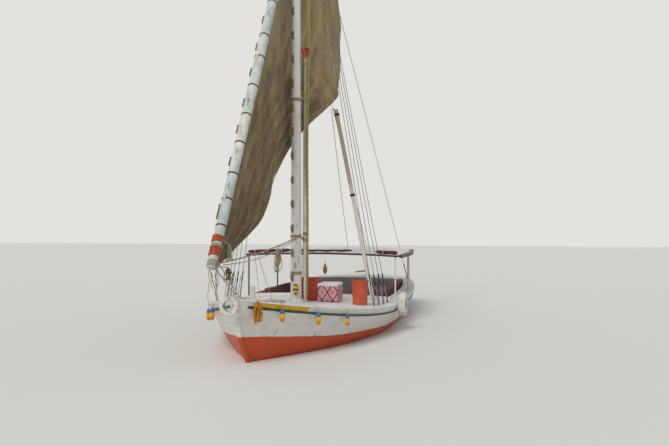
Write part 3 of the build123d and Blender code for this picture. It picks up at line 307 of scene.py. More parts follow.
# Painted strip under the port rail at the bow: plain yellow, with chipped ends
rail_line = hull_paint.add("ShaderNodeMath", hull_paint.x, 0.197, 0.095, operation="MULTIPLY_ADD")
over_line = hull_paint.add("ShaderNodeMath", hull_paint.z, rail_line, operation="SUBTRACT")
in_strip = hull_paint.mask((hull_paint.x, STRIP_FROM, STRIP_FROM + 0.01),
                           (hull_paint.x, STRIP_TO, STRIP_TO + 0.01, 1, 0),
                           (hull_paint.y, 0.0, 0.02), (over_line, -0.09, -0.084),
                           share=hull_paint.patches(0.05, 0.6, 0.66, 6, start=1, end=0.35))
paint = hull_paint.coat(paint, YELLOW, in_strip)
hull_paint.surface(paint, relief, 2.5, roughness=hull_paint.patches(0.4, 0.3, 0.7, 4, start=0.34, end=0.55))
hull_paint.dress("hull_shell", "backbone", "rudder")

# Green enamel, glossier than the sides: one crisp dark line that draws the sheer
strake_paint = Finish("brushed_green_enamel", 0.38)
faded = strake_paint.patches(0.15, 0.5, 0.75, 7, lean=0.6)
strake_paint.surface(strake_paint.coat(GREEN, "#2E5A45", faded), strake_paint.blotch(0.02, 4), 1.0)
strake_paint.dress("rub_strakes")

# %% [markdown]
# Decks and coaming carry the same white, but feet and ropes scuff it, and the boards' seams show
# as fine grooves that run fore and aft. Each board is 120 mm wide, which is the pattern's scale.

# %% Deck paint
BOARD = 0.12
# Trodden deck paint: scuffs and grooves show which way the boards run
deck_paint = Finish("foot_worn_deck_paint", 0.5)
groove = deck_paint.mask((deck_paint.off_middle(deck_paint.y, BOARD), 0.46, 0.49))
scuffed = deck_paint.patches(0.28, 0.48, 0.72, 8, (0.5, 1, 1), 0.62)
speckled = deck_paint.patches(0.025, 0.62, 0.74, 5, lean=0.6)
deck_colour = deck_paint.coat("#DDDAD6", "#B9B3A8", scuffed, 0.5)
deck_colour = deck_paint.coat(deck_colour, "#948B7B", speckled, 0.35)
deck_colour = deck_paint.coat(deck_colour, "#8D867B", groove, 0.5)
deck_relief = deck_paint.add("ShaderNodeMath", groove, -1, deck_paint.blotch(0.02, 4),
                             operation="MULTIPLY_ADD")
deck_paint.surface(deck_colour, deck_relief, 2.0)
deck_paint.dress("foredeck", "afterdeck", "side_decks", "coaming")

# %% [markdown]
# The mast is a trunk painted white long ago. Sun and ropes have streaked it along the grain, so
# its noise is squeezed to long vertical lines, and where the paint is gone the grey wood shows.

# %% Spar paints
# Chalky paint on a trunk: long upright streaks make the spar look tall and old
mast_paint = Finish("chalky_white_mast_paint", 0.62)
grain = mast_paint.blotch(0.02, 6, (1, 1, 0.05), 0.6)
bare = mast_paint.patches(0.09, 0.57, 0.66, 8, (1, 1, 0.22), 0.68)
grime = mast_paint.patches(0.3, 0.45, 0.75, 5, (1, 1, 0.3))
mast_colour = mast_paint.coat("#DBD8D1", "#AFA99E", grime, 0.45)
mast_colour = mast_paint.coat(mast_colour, "#857A6A", bare, 0.75)
# The climbing cleats stand out of the mast's tapering round; they are painted a darker grey, which stands in
# for the shade that falls on them
off_axis = mast_paint.add("ShaderNodeMath", mast_paint.x, MAST_X, operation="SUBTRACT")
off_axis = mast_paint.add("ShaderNodeCombineXYZ", off_axis, mast_paint.y)
apart = mast_paint.add("ShaderNodeVectorMath", off_axis, operation="LENGTH")
round_r = mast_paint.add("ShaderNodeMath", mast_paint.z, -0.003945, 0.1411, operation="MULTIPLY_ADD")
proud = mast_paint.add("ShaderNodeMath", apart, round_r, operation="SUBTRACT")
painted_cleat_shade = mast_paint.mask((proud, 0.006, 0.012), (proud, 0.10, 0.12, 1, 0), (mast_paint.z, 1.35, 1.4))
mast_colour = mast_paint.coat(mast_colour, "#786F61", painted_cleat_shade)
mast_relief = mast_paint.add("ShaderNodeMath", bare, -0.6, grain, operation="MULTIPLY_ADD")
mast_paint.surface(mast_colour, mast_relief, 2.5)
mast_paint.dress("mast", "mast_collar", "pole_chocks", "bitt")

# Flaked blue-white paint: cool patches set the yard apart from the warmer mast
yard_paint = Finish("flaked_blue_white_yard_paint", 0.66)
flaked = yard_paint.patches(0.13, 0.5, 0.58, 9, (0.55, 1, 0.3), 0.7)
pale = yard_paint.patches(0.5, 0.4, 0.65, 5, (0.4, 1, 0.25))
yard_colour = yard_paint.coat("#B4C1C0", "#D2D0C8", pale)
yard_colour = yard_paint.coat(yard_colour, "#9C9384", flaked, 0.5)
chipped = yard_paint.blotch(0.02, 6, (0.3, 1, 0.12))
yard_relief = yard_paint.add("ShaderNodeMath", flaked, -1, chipped, operation="MULTIPLY_ADD")
yard_paint.surface(yard_colour, yard_relief, 2.5)
yard_paint.dress("yard")

# Limewashed wood: white at hand height and grey above, as a pole that is moved about
pole_wood = Finish("limewashed_eucalyptus_pole", 0.68)
knots = pole_wood.patches(0.12, 0.5, 0.68, 7, (1, 1, 0.2), 0.66)
low_white = pole_wood.mask((pole_wood.z, 3.0, 4.4, 1, 0))
pole_colour = pole_wood.coat("#9B9384", "#D6D2C7", low_white)
pole_wood.surface(pole_wood.coat(pole_colour, "#7E7363", knots, 0.5),
                  pole_wood.blotch(0.02, 6, (1, 1, 0.08)), 2.0)
pole_wood.dress("pole", "prop")

# %% [markdown]
# Inside the well the wood is bare or thinly painted. Its grain is noise stretched twenty times
# along the board, and a second, finer one breaks it up.

# %% Woods and metals


def board_wood(name, light, dark, board=0.3):
    """Grained boards, each a tone of its own."""
    wood = Finish(name, 0.6)
    line = wood.blotch(0.03, 7, (0.06, 1, 1), 0.6)
    number = wood.add("ShaderNodeMath", wood.y, 1 / board, operation="MULTIPLY")
    number = wood.add("ShaderNodeMath", number, operation="FLOOR")
    tone = wood.add("ShaderNodeTexWhiteNoise", {"W": number}, noise_dimensions="1D")
    share = wood.add("ShaderNodeMath", tone, 0.25, wood.mask((line, 0.35, 0.7, 0, 0.75)),
                     operation="MULTIPLY_ADD")
    wood.surface(wood.coat(light, dark, share), line, 1.5)
    return wood


# Oiled boards give a warm dark inside, grey paint sets the frames back, and beech is worn pale by hands
board_wood("oiled_mahogany_boards", "#9B7650", "#5F4229").dress("sole", "benches", "table")
board_wood("grey_painted_frame_timber", "#C2BBAC", "#8B8271").dress("floor_timbers", "ribs")
board_wood("worn_tiller_beech", "#B39369", "#7A5B3A").dress("tiller")

# Galvanised steel: dull grey metal with rust spots, a small hard glint on each fitting
zinc = Finish("hot_dip_galvanised_steel", 0.46, 0.9)
spangle = zinc.add("ShaderNodeTexVoronoi", {"Vector": zinc.place, "Scale": 60})
rusty = zinc.patches(0.06, 0.55, 0.68, 7, lean=0.62)
zinc_colour = zinc.coat("#A9ABA9", "#83868A", zinc.mask((spangle, 0.1, 0.7)))
zinc.surface(zinc.coat(zinc_colour, "#6E4A33", rusty), zinc.blotch(0.01, 4), 0.4,
             roughness=zinc.patches(0.05, 0.3, 0.7, 5, start=0.36, end=0.62))
zinc.dress("rigging_screws", "chain_plates", "hound_band", "gudgeons", "pintles")

# Laid wire: dark and dull, so that a stay is a thin clear line on the sky
stay_wire = Finish("laid_galvanised_stay_wire", 0.55, 0.35)
wires = stay_wire.add("ShaderNodeTexWave", {"Vector": stay_wire.place, "Scale": 22, "Distortion": 1.5},
                      out="Fac", bands_direction="DIAGONAL")
stay_wire.surface(stay_wire.coat("#4E463D", "#7A7064", wires), wires, 0.8)
stay_wire.dress("shrouds_port", "shrouds_starboard", "backstay")

# Pipe enamel: dark bars and one row of white posts, chipped where ropes rub
awning_paint = Finish("dark_brown_pipe_enamel", 0.45)
scratched = awning_paint.patches(0.05, 0.6, 0.7, 7, lean=0.65)
dark_bar = awning_paint.coat("#3A2F33", "#7A6F6B", scratched)
white_post = awning_paint.coat("#D2CFC8", "#8C857A", scratched)
port_post = awning_paint.mask((awning_paint.y, 1.0, 1.02), (awning_paint.z, 1.86, 1.88, 1, 0))
awning_paint.surface(awning_paint.coat(dark_bar, white_post, port_post), awning_paint.blotch(0.02, 4), 0.8)
awning_paint.dress("awning_hoops", "awning_rails", "awning_posts")

# Tarnished brass: a warm spark under the awning; its pierced holes are dark spots painted on, as painted
# shade for the dark inside
brass = Finish("tarnished_lantern_brass", 0.36, 0.95)
tarnish = brass.patches(0.05, 0.4, 0.7, 6)
pierced = brass.add("ShaderNodeTexVoronoi", {"Vector": brass.place, "Scale": 55})
brass_colour = brass.coat("#A98545", "#5C4A2C", tarnish)
brass.surface(brass.coat(brass_colour, "#241C10", brass.mask((pierced, 0.12, 0.2, 0.85, 0))),
              brass.mask((pierced, 0.1, 0.3)), 1.5)
brass.dress("lantern")

# %% [markdown]
# The tubs are moulded polypropylene in terracotta: a faint orange-peel bump, a few ribs, dust in
# the ribs. The tyres are car and scooter tyres brushed over with white paint, which has worn off
# on their shoulders, so black rubber shows through in patches.

# %% Plastics and rubber
# Moulded polypropylene: even colour and soft gloss, plainly plastic beside painted wood
tub = Finish("moulded_terracotta_polypropylene", 0.48)
ribs = tub.waves(tub.z, 0.05)
dusty = tub.patches(0.14, 0.45, 0.75, 6, lean=0.6)
tub.surface(tub.coat("#B4482A", "#C07553", dusty, 0.55),
            tub.add("ShaderNodeMath", ribs, 0.25, tub.blotch(0.004, 3), operation="MULTIPLY_ADD"), 1.4)
tub.dress("square_bin", "round_bin")

# Float plastic: smooth and faintly dirty under the bands
float_plastic = Finish("painted_float_plastic", 0.4)
dirty = float_plastic.patches(0.04, 0.5, 0.75, 6)
float_plastic.surface(float_plastic.coat("#DDA71B", "#6E5A2A", dirty, 0.6))
float_plastic.dress("fenders")

# White paint on rubber: worn through in black patches, so it reads as a tyre and not a ring
tyre_white = Finish("white_painted_tyre_rubber", 0.7)
rubbed = tyre_white.patches(0.07, 0.55, 0.64, 8, lean=0.66)
grimy = tyre_white.patches(0.2, 0.4, 0.75, 5)
tyre_colour = tyre_white.coat("#DAD7D0", "#A39D92", grimy, 0.5)
tyre_white.surface(tyre_white.coat(tyre_colour, "#2E2C2B", rubbed, 0.85), tyre_white.blotch(0.012, 5), 2.0)
tyre_white.dress("bow_tyre", "side_tyre")

# %% [markdown]
# Cloth is woven, so its finish carries a weave. The real threads are under a millimetre apart,
# too fine for this view, so the weave is drawn at 9 mm and only as a faint bump. Sun and dust
# change its tone in long vertical streaks, the way a hanging cloth weathers.

# %% Cloths


def woven(name, light, dark, stain, streak=(1, 1, 0.12), patch=0.16):
    """A woven cloth with streaks and stains."""
    cloth, thread = Finish(name, 0.9), 0.009
    warp = cloth.waves(cloth.add("ShaderNodeMath", cloth.x, cloth.y, operation="ADD"), thread)
    weave = cloth.add("ShaderNodeMath", warp, cloth.waves(cloth.z, thread), operation="MULTIPLY")
    tone = cloth.patches(patch, 0.32, 0.7, 7, streak, 0.58)
    spots = cloth.patches(0.35, 0.56, 0.74, 6, lean=0.6)
    base = cloth.coat(light, dark, tone)
    cloth.base = cloth.coat(base, stain, spots, 0.5)
    weave = cloth.add("ShaderNodeMath", weave, 0.3, cloth.blotch(0.012, 4), operation="MULTIPLY_ADD")
    cloth.surface(cloth.base, weave, 1.6)
    cloth.shader.inputs["Sheen Weight"].default_value = 0.15
    return cloth


# Cotton canvas: matt, sun-bleached and dusty, so the folds carry the form
sail_cloth = woven("sun_bleached_cotton_canvas", "#A8926A", "#8D7854", "#6F5C40")
# White canvas: the brightest cloth, with grey streaks where water ran
awning_cloth = woven("white_awning_canvas", "#DEDAD3", "#C4BEB4", "#A39A8B", streak=(0.3, 1, 1))
# Dyed cotton: a dark soft band that frames the awning
roll_cloth = woven("maroon_side_curtain_cotton", "#5E1F30", "#3F1524", "#2A1018", patch=0.07)
# Rag: matt orange-brown turns, the one warm accent at the yard's foot
wrap_cloth = woven("orange_brown_wrap_rag", "#B4562F", "#8C3E20", "#5E2B18", patch=0.05)
# Faded red cotton: a small bright tuft high up
rag_cloth = woven("faded_red_rag", "#CC5A3C", "#A84230", "#6E3024", patch=0.05)
# Black polypropylene: dark bindings that mark each knot
lash_cloth = woven("black_polypropylene_lashing", "#2B2A29", "#171615", "#3D3A36", patch=0.04)

# Painted shade in the sail's valleys and painted light on its ridges, both set by the fold attribute
valley = sail_cloth.add("ShaderNodeAttribute", attribute_name="fold", out="Fac")
painted_valley_shade = sail_cloth.mask((valley, -0.85, 0.25, 0.5, 0.0))
painted_ridge_light = sail_cloth.mask((valley, 0.1, 0.95, 0.0, 0.4))
tone = sail_cloth.coat(sail_cloth.base, "#C9B68E", painted_ridge_light)
sail_cloth.surface(sail_cloth.coat(tone, "#4A3C28", painted_valley_shade))

# Mattress ticking: striped and matt, soft against the boards
pad_cloth = woven("striped_maroon_mattress_ticking", "#7E2C3A", "#641F2D", "#45161F", patch=0.3)
stripe = pad_cloth.mask((pad_cloth.off_middle(pad_cloth.x, 0.085, 8.0), 0.34, 0.37))
pad_cloth.surface(pad_cloth.coat(pad_cloth.base, "#B79C86", stripe, 0.75))
print(len(bpy.data.materials), "materials so far")

# %% [markdown]
# Rope is three strands laid together, so a rope here is a real three-lobed tube that turns as it
# goes. Its line is a NURBS curve through a few given points, read back as a path. The lay of
# the strands then follows the path, with a turn about every seven radii, like laid cordage.

# %% Rope finishes


def laid_rope(name, light, dark):
    """A rope's finish: a fine fuzz over soft changes of tone."""
    rope = Finish(name, 0.85)
    tone = rope.patches(0.09, 0.35, 0.68, 6, lean=0.6, end=0.6)
    fuzz = rope.blotch(0.006, 3)
    share = rope.add("ShaderNodeMath", fuzz, 0.4, tone, operation="MULTIPLY_ADD")
    rope.surface(rope.coat(light, dark, share), fuzz, 1.5)
    return rope


# Hemp: grey-brown and fuzzy, the common rope of the rig
hemp = laid_rope("weathered_hemp_rope", "#BDAE8E", "#86775A")
# Bleached cotton line: paler and cleaner, seen against dark wood
pale_rope = laid_rope("bleached_cotton_rope", "#CFC7B5", "#9D937E")
# Polypropylene: strong orange-yellow, slightly waxy
gold_rope = laid_rope("orange_yellow_polypropylene_rope", "#D28A1E", "#A5601A")
# Weathered polypropylene: yellow-green, one long bright stripe beside the pole
olive_rope = laid_rope("yellow_green_polypropylene_rope", "#A9A13A", "#7C7430")
# Tarred hemp: dark thin rings that count off the yard's length
tarred_rope = laid_rope("tarred_hemp_rope", "#7A674A", "#4A3D2B")
hemp.dress("parrel")
pale_rope.dress("rope_coil")

# %% [markdown]
# A rope tube needs a frame that doesn't spin as the path bends, so each ring's direction is
# carried from the last one. The path itself is Blender's own NURBS line, sampled evenly.

# %% Paths and tubes


def nurbs_path(points, spacing):
    """Evenly spaced points along a smooth NURBS line with these control points."""
    curve = bpy.data.curves.new("path", "CURVE")
    curve.dimensions = "3D"
    curve.resolution_u = 24
    spline = curve.splines.new("NURBS")
    spline.points.add(len(points) - 1)
    for spot, point in zip(spline.points, points):
        spot.co = (*point, 1)
    spline.order_u = 3
    spline.use_endpoint_u = True
    holder = bpy.data.objects.new("path", curve)
    bpy.context.scene.collection.objects.link(holder)
    mesh = bpy.data.meshes.new_from_object(holder.evaluated_get(bpy.context.evaluated_depsgraph_get()))
    line = np.array([v.co for v in mesh.vertices])
    bpy.data.objects.remove(holder)
    bpy.data.curves.remove(curve)
    bpy.data.meshes.remove(mesh)
    steps = steps_along(line)
    count = max(4, int(steps[-1] / spacing) + 1)
    marks = np.linspace(0, steps[-1], count)
    return np.stack([np.interp(marks, steps, line[:, k]) for k in range(3)], axis=1)


def new_piece(name, vertices, faces, finish):
    """A smooth mesh object at the origin with one material."""
    mesh = bpy.data.meshes.new(name)
    mesh.from_pydata([tuple(map(float, v)) for v in vertices], [], [tuple(map(int, f)) for f in faces])
    mesh.validate()
    mesh.polygons.foreach_set("use_smooth", [True] * len(mesh.polygons))
    mesh.materials.append(finish.material)
    piece = bpy.data.objects.new(name, mesh)
    bpy.context.scene.collection.objects.link(piece)
    return piece


def fit(piece, body, node=None):
    """Hide the solid that a piece replaces, if any, and attach the piece to the body it rides on."""
    if node:
        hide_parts(node)
    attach(piece, body)
    return piece


def steps_along(path):
    """The distance from a path's start at each of its points."""
    return np.r_[0, np.cumsum(np.linalg.norm(np.diff(path, axis=0), axis=1))]


def tube_mesh(path, radius, sides=9, lobes=3, lobe=0.17, lay=7.0):
    """Vertices and faces of a tube along path; its lobes turn once in lay radii."""
    path = np.asarray(path, float)
    count = len(path)
    ways = np.gradient(path, axis=0)
    ways /= np.linalg.norm(ways, axis=1)[:, None] + 1e-12
    first = np.cross(ways[0], (0, 0, 1) if abs(ways[0][2]) < 0.9 else (1, 0, 0))
    first /= np.linalg.norm(first)
    radii = np.full(count, radius) if np.isscalar(radius) else np.asarray(radius)
    steps = steps_along(path)
    turns = np.arange(sides) * 2 * math.pi / sides
    vertices = []
    for i in range(count):
        first = first - ways[i] * np.dot(first, ways[i])
        first /= np.linalg.norm(first) + 1e-12
        second = np.cross(ways[i], first)
        phase = steps[i] / (lay * radii[i] + 1e-9) * 2 * math.pi / lobes
        reach = radii[i] * (1 - lobe + lobe * np.cos(lobes * (turns - phase)))
        ring = path[i] + np.outer(np.cos(turns) * reach, first) + np.outer(np.sin(turns) * reach, second)
        vertices.extend(ring)
    faces = []
    for i in range(count - 1):
        for k in range(sides):
            a, b = i * sides + k, i * sides + (k + 1) % sides
            faces.append((a, b, b + sides, a + sides))
    faces.append(tuple(range(sides))[::-1])
    faces.append(tuple((count - 1) * sides + k for k in range(sides)))
    return vertices, faces


def join_meshes(parts):
    """Several (vertices, faces) lists as one."""
    vertices, faces = [], []
    for some, these in parts:
        start = len(vertices)
        vertices.extend(some)
        faces.extend([tuple(i + start for i in face) for face in these])
    return vertices, faces


def rope(name, points, radius, finish, body=None, spacing=None, **shape):
    """A laid rope along a smooth line through points. Returns the piece and its path."""
    path = nurbs_path(points, spacing or max(1.1 * radius, 0.012))
    piece = new_piece(name, *tube_mesh(path, radius, **shape), finish)
    if body:
        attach(piece, body)
    return piece, path


def free_cord(piece, path):
    """Print the length of a rope with a free end."""
    length = float(steps_along(path)[-1])
    tuple(path[0])
    [tuple(p) for p in path]
    print(piece.name, round(length, 2), "m")


print("a metre of smooth path has", len(nurbs_path([(0, 0, 0), (0, 0, 1)], 0.02)), "points")

# %% [markdown]
# Many pieces lie on the deck or hang at its edge. A ray dropped onto the CAD deck finds its
# height anywhere, so nothing floats or sinks. The hull's own deck edge gives the rail line.

# %% Where the deck is


def tree_of(*names):
    """A search tree over some of the solids."""
    vertices, faces = [], []
    for name in names:
        mesh = nodes[name].data
        start = len(vertices)
        vertices.extend(v.co.copy() for v in mesh.vertices)
        faces.extend([i + start for i in face.vertices] for face in mesh.polygons)
    return BVHTree.FromPolygons(vertices, faces)


decks = tree_of("foredeck", "side_decks", "afterdeck")


def deck_z(x, y):
    """The deck's height at a place, or None past its edge."""
    spot = decks.ray_cast(Vector((x, y, 3.0)), Vector((0, 0, -1)))[0]
    return spot.z if spot else None


def rail_y(x):
    """How far out the deck reaches at x."""
    low, high = 0.0, 2.6
    for _ in range(24):
        middle = (low + high) / 2
        low, high = (middle, high) if deck_z(x, middle) is not None else (low, middle)
    return low


print("rail at the mast", round(rail_y(MAST_X), 3), "deck at the mast", round(deck_z(2.6, 0.0), 3))

# %% [markdown]
# The sail hangs from an 18 m yard. It is a working sail, brailed up and tied, so it hangs in a
# thick bundle of long folds that fan out from the tie at the heel. The cloth is one surface: at
# each height it runs level from the yard, past the mast, to its free edge, and the folds push
# it in and out. They count the same at every height, so they narrow where the cloth is narrow.

# %% Yard and sail lines
HEEL = np.array((6.86, -0.15, 1.975))
CROSSING = np.array((MAST_X, -0.232, 10.0))
YARD_WAY = (CROSSING - HEEL) / np.linalg.norm(CROSSING - HEEL)
YARD_LENGTH = 18.0
# Columns: share of the yard's length, radius
TAPER = [(0.0, 0.084), (0.05, 0.096), (0.3, 0.108), (0.55, 0.104), (0.8, 0.076), (1.0, 0.038)]
# Columns: height, x and y of the sail's free edge
SAIL_EDGE = np.array([
    (1.99, 6.60, -0.16), (2.05, 5.98, -0.17), (2.27, 5.90, -0.18), (2.44, 5.45, -0.19), (2.64, 4.72, -0.2),
    (3.0, 4.23, -0.21), (3.43, 3.61, -0.24), (4.2, 2.79, -0.33), (4.6, 2.24, -0.35), (5.15, 1.9, -0.02),
    (5.6, 1.5, 0.26), (5.98, 0.7, 0.47), (6.6, 0.1, 0.45), (7.85, -0.86, 0.42), (8.97, -0.66, 0.38),
    (10.0, -0.7, 0.25), (12.0, -0.9, 0.06), (14.0, -1.25, -0.09), (16.0, -1.64, -0.23), (17.3, -1.89, -0.295),
])
SAIL_FOOT, SAIL_HEAD = SAIL_EDGE[0, 0], SAIL_EDGE[-1, 0]
# Where the cloth is pressed aft of the mast, between these heights
BEND_AT, BEND_FROM, BEND_TO = np.array((2.08, -0.35)), 4.3, 10.2


def yard_point(distance):
    return HEEL + YARD_WAY * distance


def yard_r(distance):
    return float(np.interp(distance / YARD_LENGTH, *zip(*TAPER)))


def mast_r(z):
    return float(np.interp(z, (0.79, 12.45), (0.138, 0.092)))


def soften(values, passes):
    """Round the corners of a column of values and keep its ends."""
    values = np.array(values, float)
    for _ in range(passes):
        values[1:-1] = (values[:-2] + 2 * values[1:-1] + values[2:]) / 4
    return values


def window(z, low, high, soft, soft_high=None):
    """1 well inside low and high, 0 outside, with straight ramps between."""
    return np.clip(np.minimum((z - low) / soft, (high - z) / (soft_high or soft)), 0, 1)


ROWS, COLUMNS, FOLDS = 260, 150, 7.5
heights = np.linspace(SAIL_FOOT, SAIL_HEAD, ROWS)
edge_x = soften(np.interp(heights, SAIL_EDGE[:, 0], SAIL_EDGE[:, 1]), 18)
edge_y = soften(np.interp(heights, SAIL_EDGE[:, 0], SAIL_EDGE[:, 2]), 18)
start_xy = np.stack([yard_point((z - HEEL[2]) / YARD_WAY[2])[:2] for z in heights])
bend_share = window(heights, BEND_FROM, BEND_TO, 0.6, 1.4)[:, None]
plain = start_xy * 0.55 + np.stack([edge_x, edge_y], axis=1) * 0.45 - (0, 0.012)
bends = plain * (1 - bend_share) + BEND_AT * bend_share
print("sail rows", ROWS, "widest", round(float(np.max(start_xy[:, 0] - edge_x)), 2), "m")

# %% [markdown]
# Cloth folds are uneven: some are deep, some shallow, and they wander. Three waves of different
# widths are added, each with a slow drift up the sail, and the sum is bent so that ridges are
# round and valleys sharp, as in a heavy canvas that hangs from ties. Where the backstay passes,
# the folds stand out on the other side only, so the yard can still swing.

# %% Folds in the sail
# Heights between which the backstay passes close, and those of the bulge at the sail's clew
BY_STAY, CLEW_BULGE = (6.4, 12.4), (5.2, 7.4)


def drift(seed, width):
    """A slow random wander over the rows, from -1 to 1."""
    knots = np.random.default_rng(seed).uniform(-1, 1, 40)
    return soften(np.interp(heights, np.linspace(2, 18, 40), knots), width)


wander = [drift(seed, 60) for seed in (1, 2, 3, 4, 5)]
share = np.linspace(0, 1, COLUMNS)
sail_points = np.zeros((ROWS, COLUMNS, 3))
fold_depth = np.zeros((ROWS, COLUMNS))
for i, z in enumerate(heights):
    # The cloth's line at this height: from the yard, past the mast, to the free edge
    route = np.array([start_xy[i], bends[i], (edge_x[i], edge_y[i])])
    steps = steps_along(route)
    width = steps[-1]
    marks = np.linspace(0, width, COLUMNS)
    line = np.stack([soften(np.interp(marks, steps, route[:, k]), 120) for k in (0, 1)], axis=1)
    tangent = np.gradient(line, axis=0)
    tangent /= np.linalg.norm(tangent, axis=1)[:, None]
    normal = np.stack([-tangent[:, 1], tangent[:, 0]], axis=1)
    # Three waves: the folds themselves, finer ones on them, and a slow swing of the whole
    deep = FOLDS * share + 0.55 * wander[0][i] + 0.35 * np.sin(3 * share + wander[1][i])
    deep = np.sin(2 * math.pi * deep)
    fine = np.sin(2 * math.pi * (2.3 * FOLDS * share + wander[2][i] + 0.8 * wander[3][i] * share))
    slow = np.sin(2 * math.pi * (0.37 * FOLDS * share + 0.8 * wander[4][i]))
    wave = 0.68 * deep + 0.13 * fine + 0.42 * slow
    wave = np.sign(wave) * np.abs(wave) ** 0.85
    wave = np.where(wave < 0, wave * (1 - 0.85 * window(z, *BY_STAY, 0.8)), wave)
    reach = np.interp(z, (2.0, 3.2, 10, SAIL_HEAD), (0.05, 0.105, 0.09, 0.04))
    size = min(reach, 0.34 * width / FOLDS) * np.clip(share * 9, 0.12, 1) ** 0.7
    size = size * (1 + 0.45 * np.clip((share - 0.5) / 0.15, 0, 1) * window(z, *CLEW_BULGE, 0.8))
    fold_depth[i] = wave
    # Near the clew the gathered cloth is crumpled too
    bunch = math.exp(-((z - 6.55) / 0.62) ** 2) * np.clip((share - 0.62) / 0.2, 0, 1)
    crumple = np.sin(31 * share + 5.1 * z) * np.sin(17 * share - 7.3 * z + 1.4)
    crumple += 0.7 * np.sin(53 * share + 11 * z)
    line = line + normal * (wave * size + 0.038 * bunch * crumple)[:, None]
    droop = 0.03 * np.sin(2 * math.pi * FOLDS * share) * np.clip(width, 0, 1)
    sail_points[i, :, :2] = line
    sail_points[i, :, 2] = z + droop * np.clip((z - 2.5) / 1.2, 0, 1) * np.clip((17.2 - z) / 1.2, 0, 1)
# The first column lies against the yard's side
offset = np.array([yard_r((z - HEEL[2]) / YARD_WAY[2]) for z in heights])
first_way = sail_points[:, 6, :2] - sail_points[:, 0, :2]
first_way /= np.linalg.norm(first_way, axis=1)[:, None]
sail_points[:, 0, :2] += first_way * offset[:, None] * 0.55
print("folds across the sail", FOLDS)

# %% [markdown]
# The grid of points becomes one sheet. Solidify gives the canvas its thickness, which is drawn
# at 5 mm because the head rope and hems are folded double. The cloth's area is measured and
# printed; its flat cut is a triangle along 17.3 m of the yard. A rope is sewn to its free edge.

# %% The sail itself


def grid_faces(rows, columns, wrap=False):
    """Four-cornered faces over a grid of points, closed round if wrap."""
    faces = []
    for i in range(rows - 1):
        for k in range(columns if wrap else columns - 1):
            a, b = i * columns + k, i * columns + (k + 1) % columns
            faces.append((a, b, b + columns, a + columns))
    return faces


def area_of(grid):
    """A grid's surface in square metres."""
    a = grid[1:, :-1] - grid[:-1, :-1]
    b = grid[:-1, 1:] - grid[:-1, :-1]
    return float(np.linalg.norm(np.cross(a, b), axis=2).sum())


def cloth_piece(name, grid, finish, thickness, offset=0):
    """A grid of points as a sheet of cloth with a thickness, and its area."""
    piece = new_piece(name, grid.reshape(-1, 3), grid_faces(*grid.shape[:2]), finish)
    thick = piece.modifiers.new("cloth", "SOLIDIFY")
    thick.thickness = thickness
    thick.offset = offset
    area = area_of(grid)
    print(name, round(area, 2), "m2")
    return piece, area


sail, sail_area = cloth_piece("brailed_sail", sail_points, sail_cloth, 0.005)
# The fold attribute holds each point's fold wave, which the sail's finish paints as valley shade and ridge
# light
fold = sail.data.attributes.new("fold", "FLOAT", "POINT")
fold.data.foreach_set("value", fold_depth.ravel().astype(np.float32))
fit(sail, "lateen", "sail")
rope("sail_edge_rope", sail_points[::6, -1], 0.011, hemp, "lateen", spacing=0.03)

# %% [markdown]
# The sail's head is tied to the yard by short lashings, the robands, about every 60 cm. They
# repeat along a straight spar that tapers, so Geometry Nodes set them out: a line of points
# gets a small coil on each, sized by the spar's radius there.

# %% Robands along the yard


def socket_id(tree, name):
    """The identifier of a node group's input, which a modifier's values are stored under."""
    for item in tree.interface.items_tree:
        if item.item_type == "SOCKET" and item.in_out == "INPUT" and item.name == name:
            return item.identifier


def new_tree(name, sizes):
    """A geometry node group with a mesh in and out and named sizes."""
    tree = bpy.data.node_groups.new(name, "GeometryNodeTree")
    tree.interface.new_socket("Geometry", in_out="INPUT", socket_type="NodeSocketGeometry")
    for label, value in sizes.items():
        kind = "NodeSocketInt" if isinstance(value, int) else "NodeSocketFloat"
        tree.interface.new_socket(label, in_out="INPUT", socket_type=kind).default_value = value
    tree.interface.new_socket("Geometry", in_out="OUTPUT", socket_type="NodeSocketGeometry")
    return tree, add(tree, "NodeGroupInput"), add(tree, "NodeGroupOutput")


def end_tree(tree, shape, finish, out):
    """Real meshes in place of instances, with their material, led to the tree's output."""
    solid = add(tree, "GeometryNodeRealizeInstances", shape.outputs[0])
    dressed = add(tree, "GeometryNodeSetMaterial",
                  {"Geometry": solid.outputs[0], "Material": finish.material})
    tree.links.new(dressed.outputs[0], out.inputs[0])
    return tree


def bake(name, tree, source, sizes, body):
    """Run the tree on a source mesh and keep the result as a plain piece."""
    holder = bpy.data.objects.new(name, source)
    bpy.context.scene.collection.objects.link(holder)
    modifier = holder.modifiers.new("nodes", "NODES")
    modifier.node_group = tree
    for label, value in sizes.items():
        modifier[socket_id(tree, label)] = value
    graph = bpy.context.evaluated_depsgraph_get()
    mesh = bpy.data.meshes.new_from_object(holder.evaluated_get(graph))
    holder.modifiers.remove(modifier)
    holder.data = mesh
    mesh.polygons.foreach_set("use_smooth", [True] * len(mesh.polygons))
    print(name, len(mesh.polygons), "faces")
    return fit(holder, body)


def point_cloud(spots, ways, sizes):
    """A mesh of loose points that carry a direction and a size."""
    mesh = bpy.data.meshes.new("spots")
    mesh.from_pydata([tuple(map(float, p)) for p in spots], [], [])
    way = mesh.attributes.new("way", "FLOAT_VECTOR", "POINT")
    way.data.foreach_set("vector", np.asarray(ways, np.float32).ravel())
    size = mesh.attributes.new("size", "FLOAT", "POINT")
    size.data.foreach_set("value", np.asarray(sizes, np.float32).ravel())
    return mesh


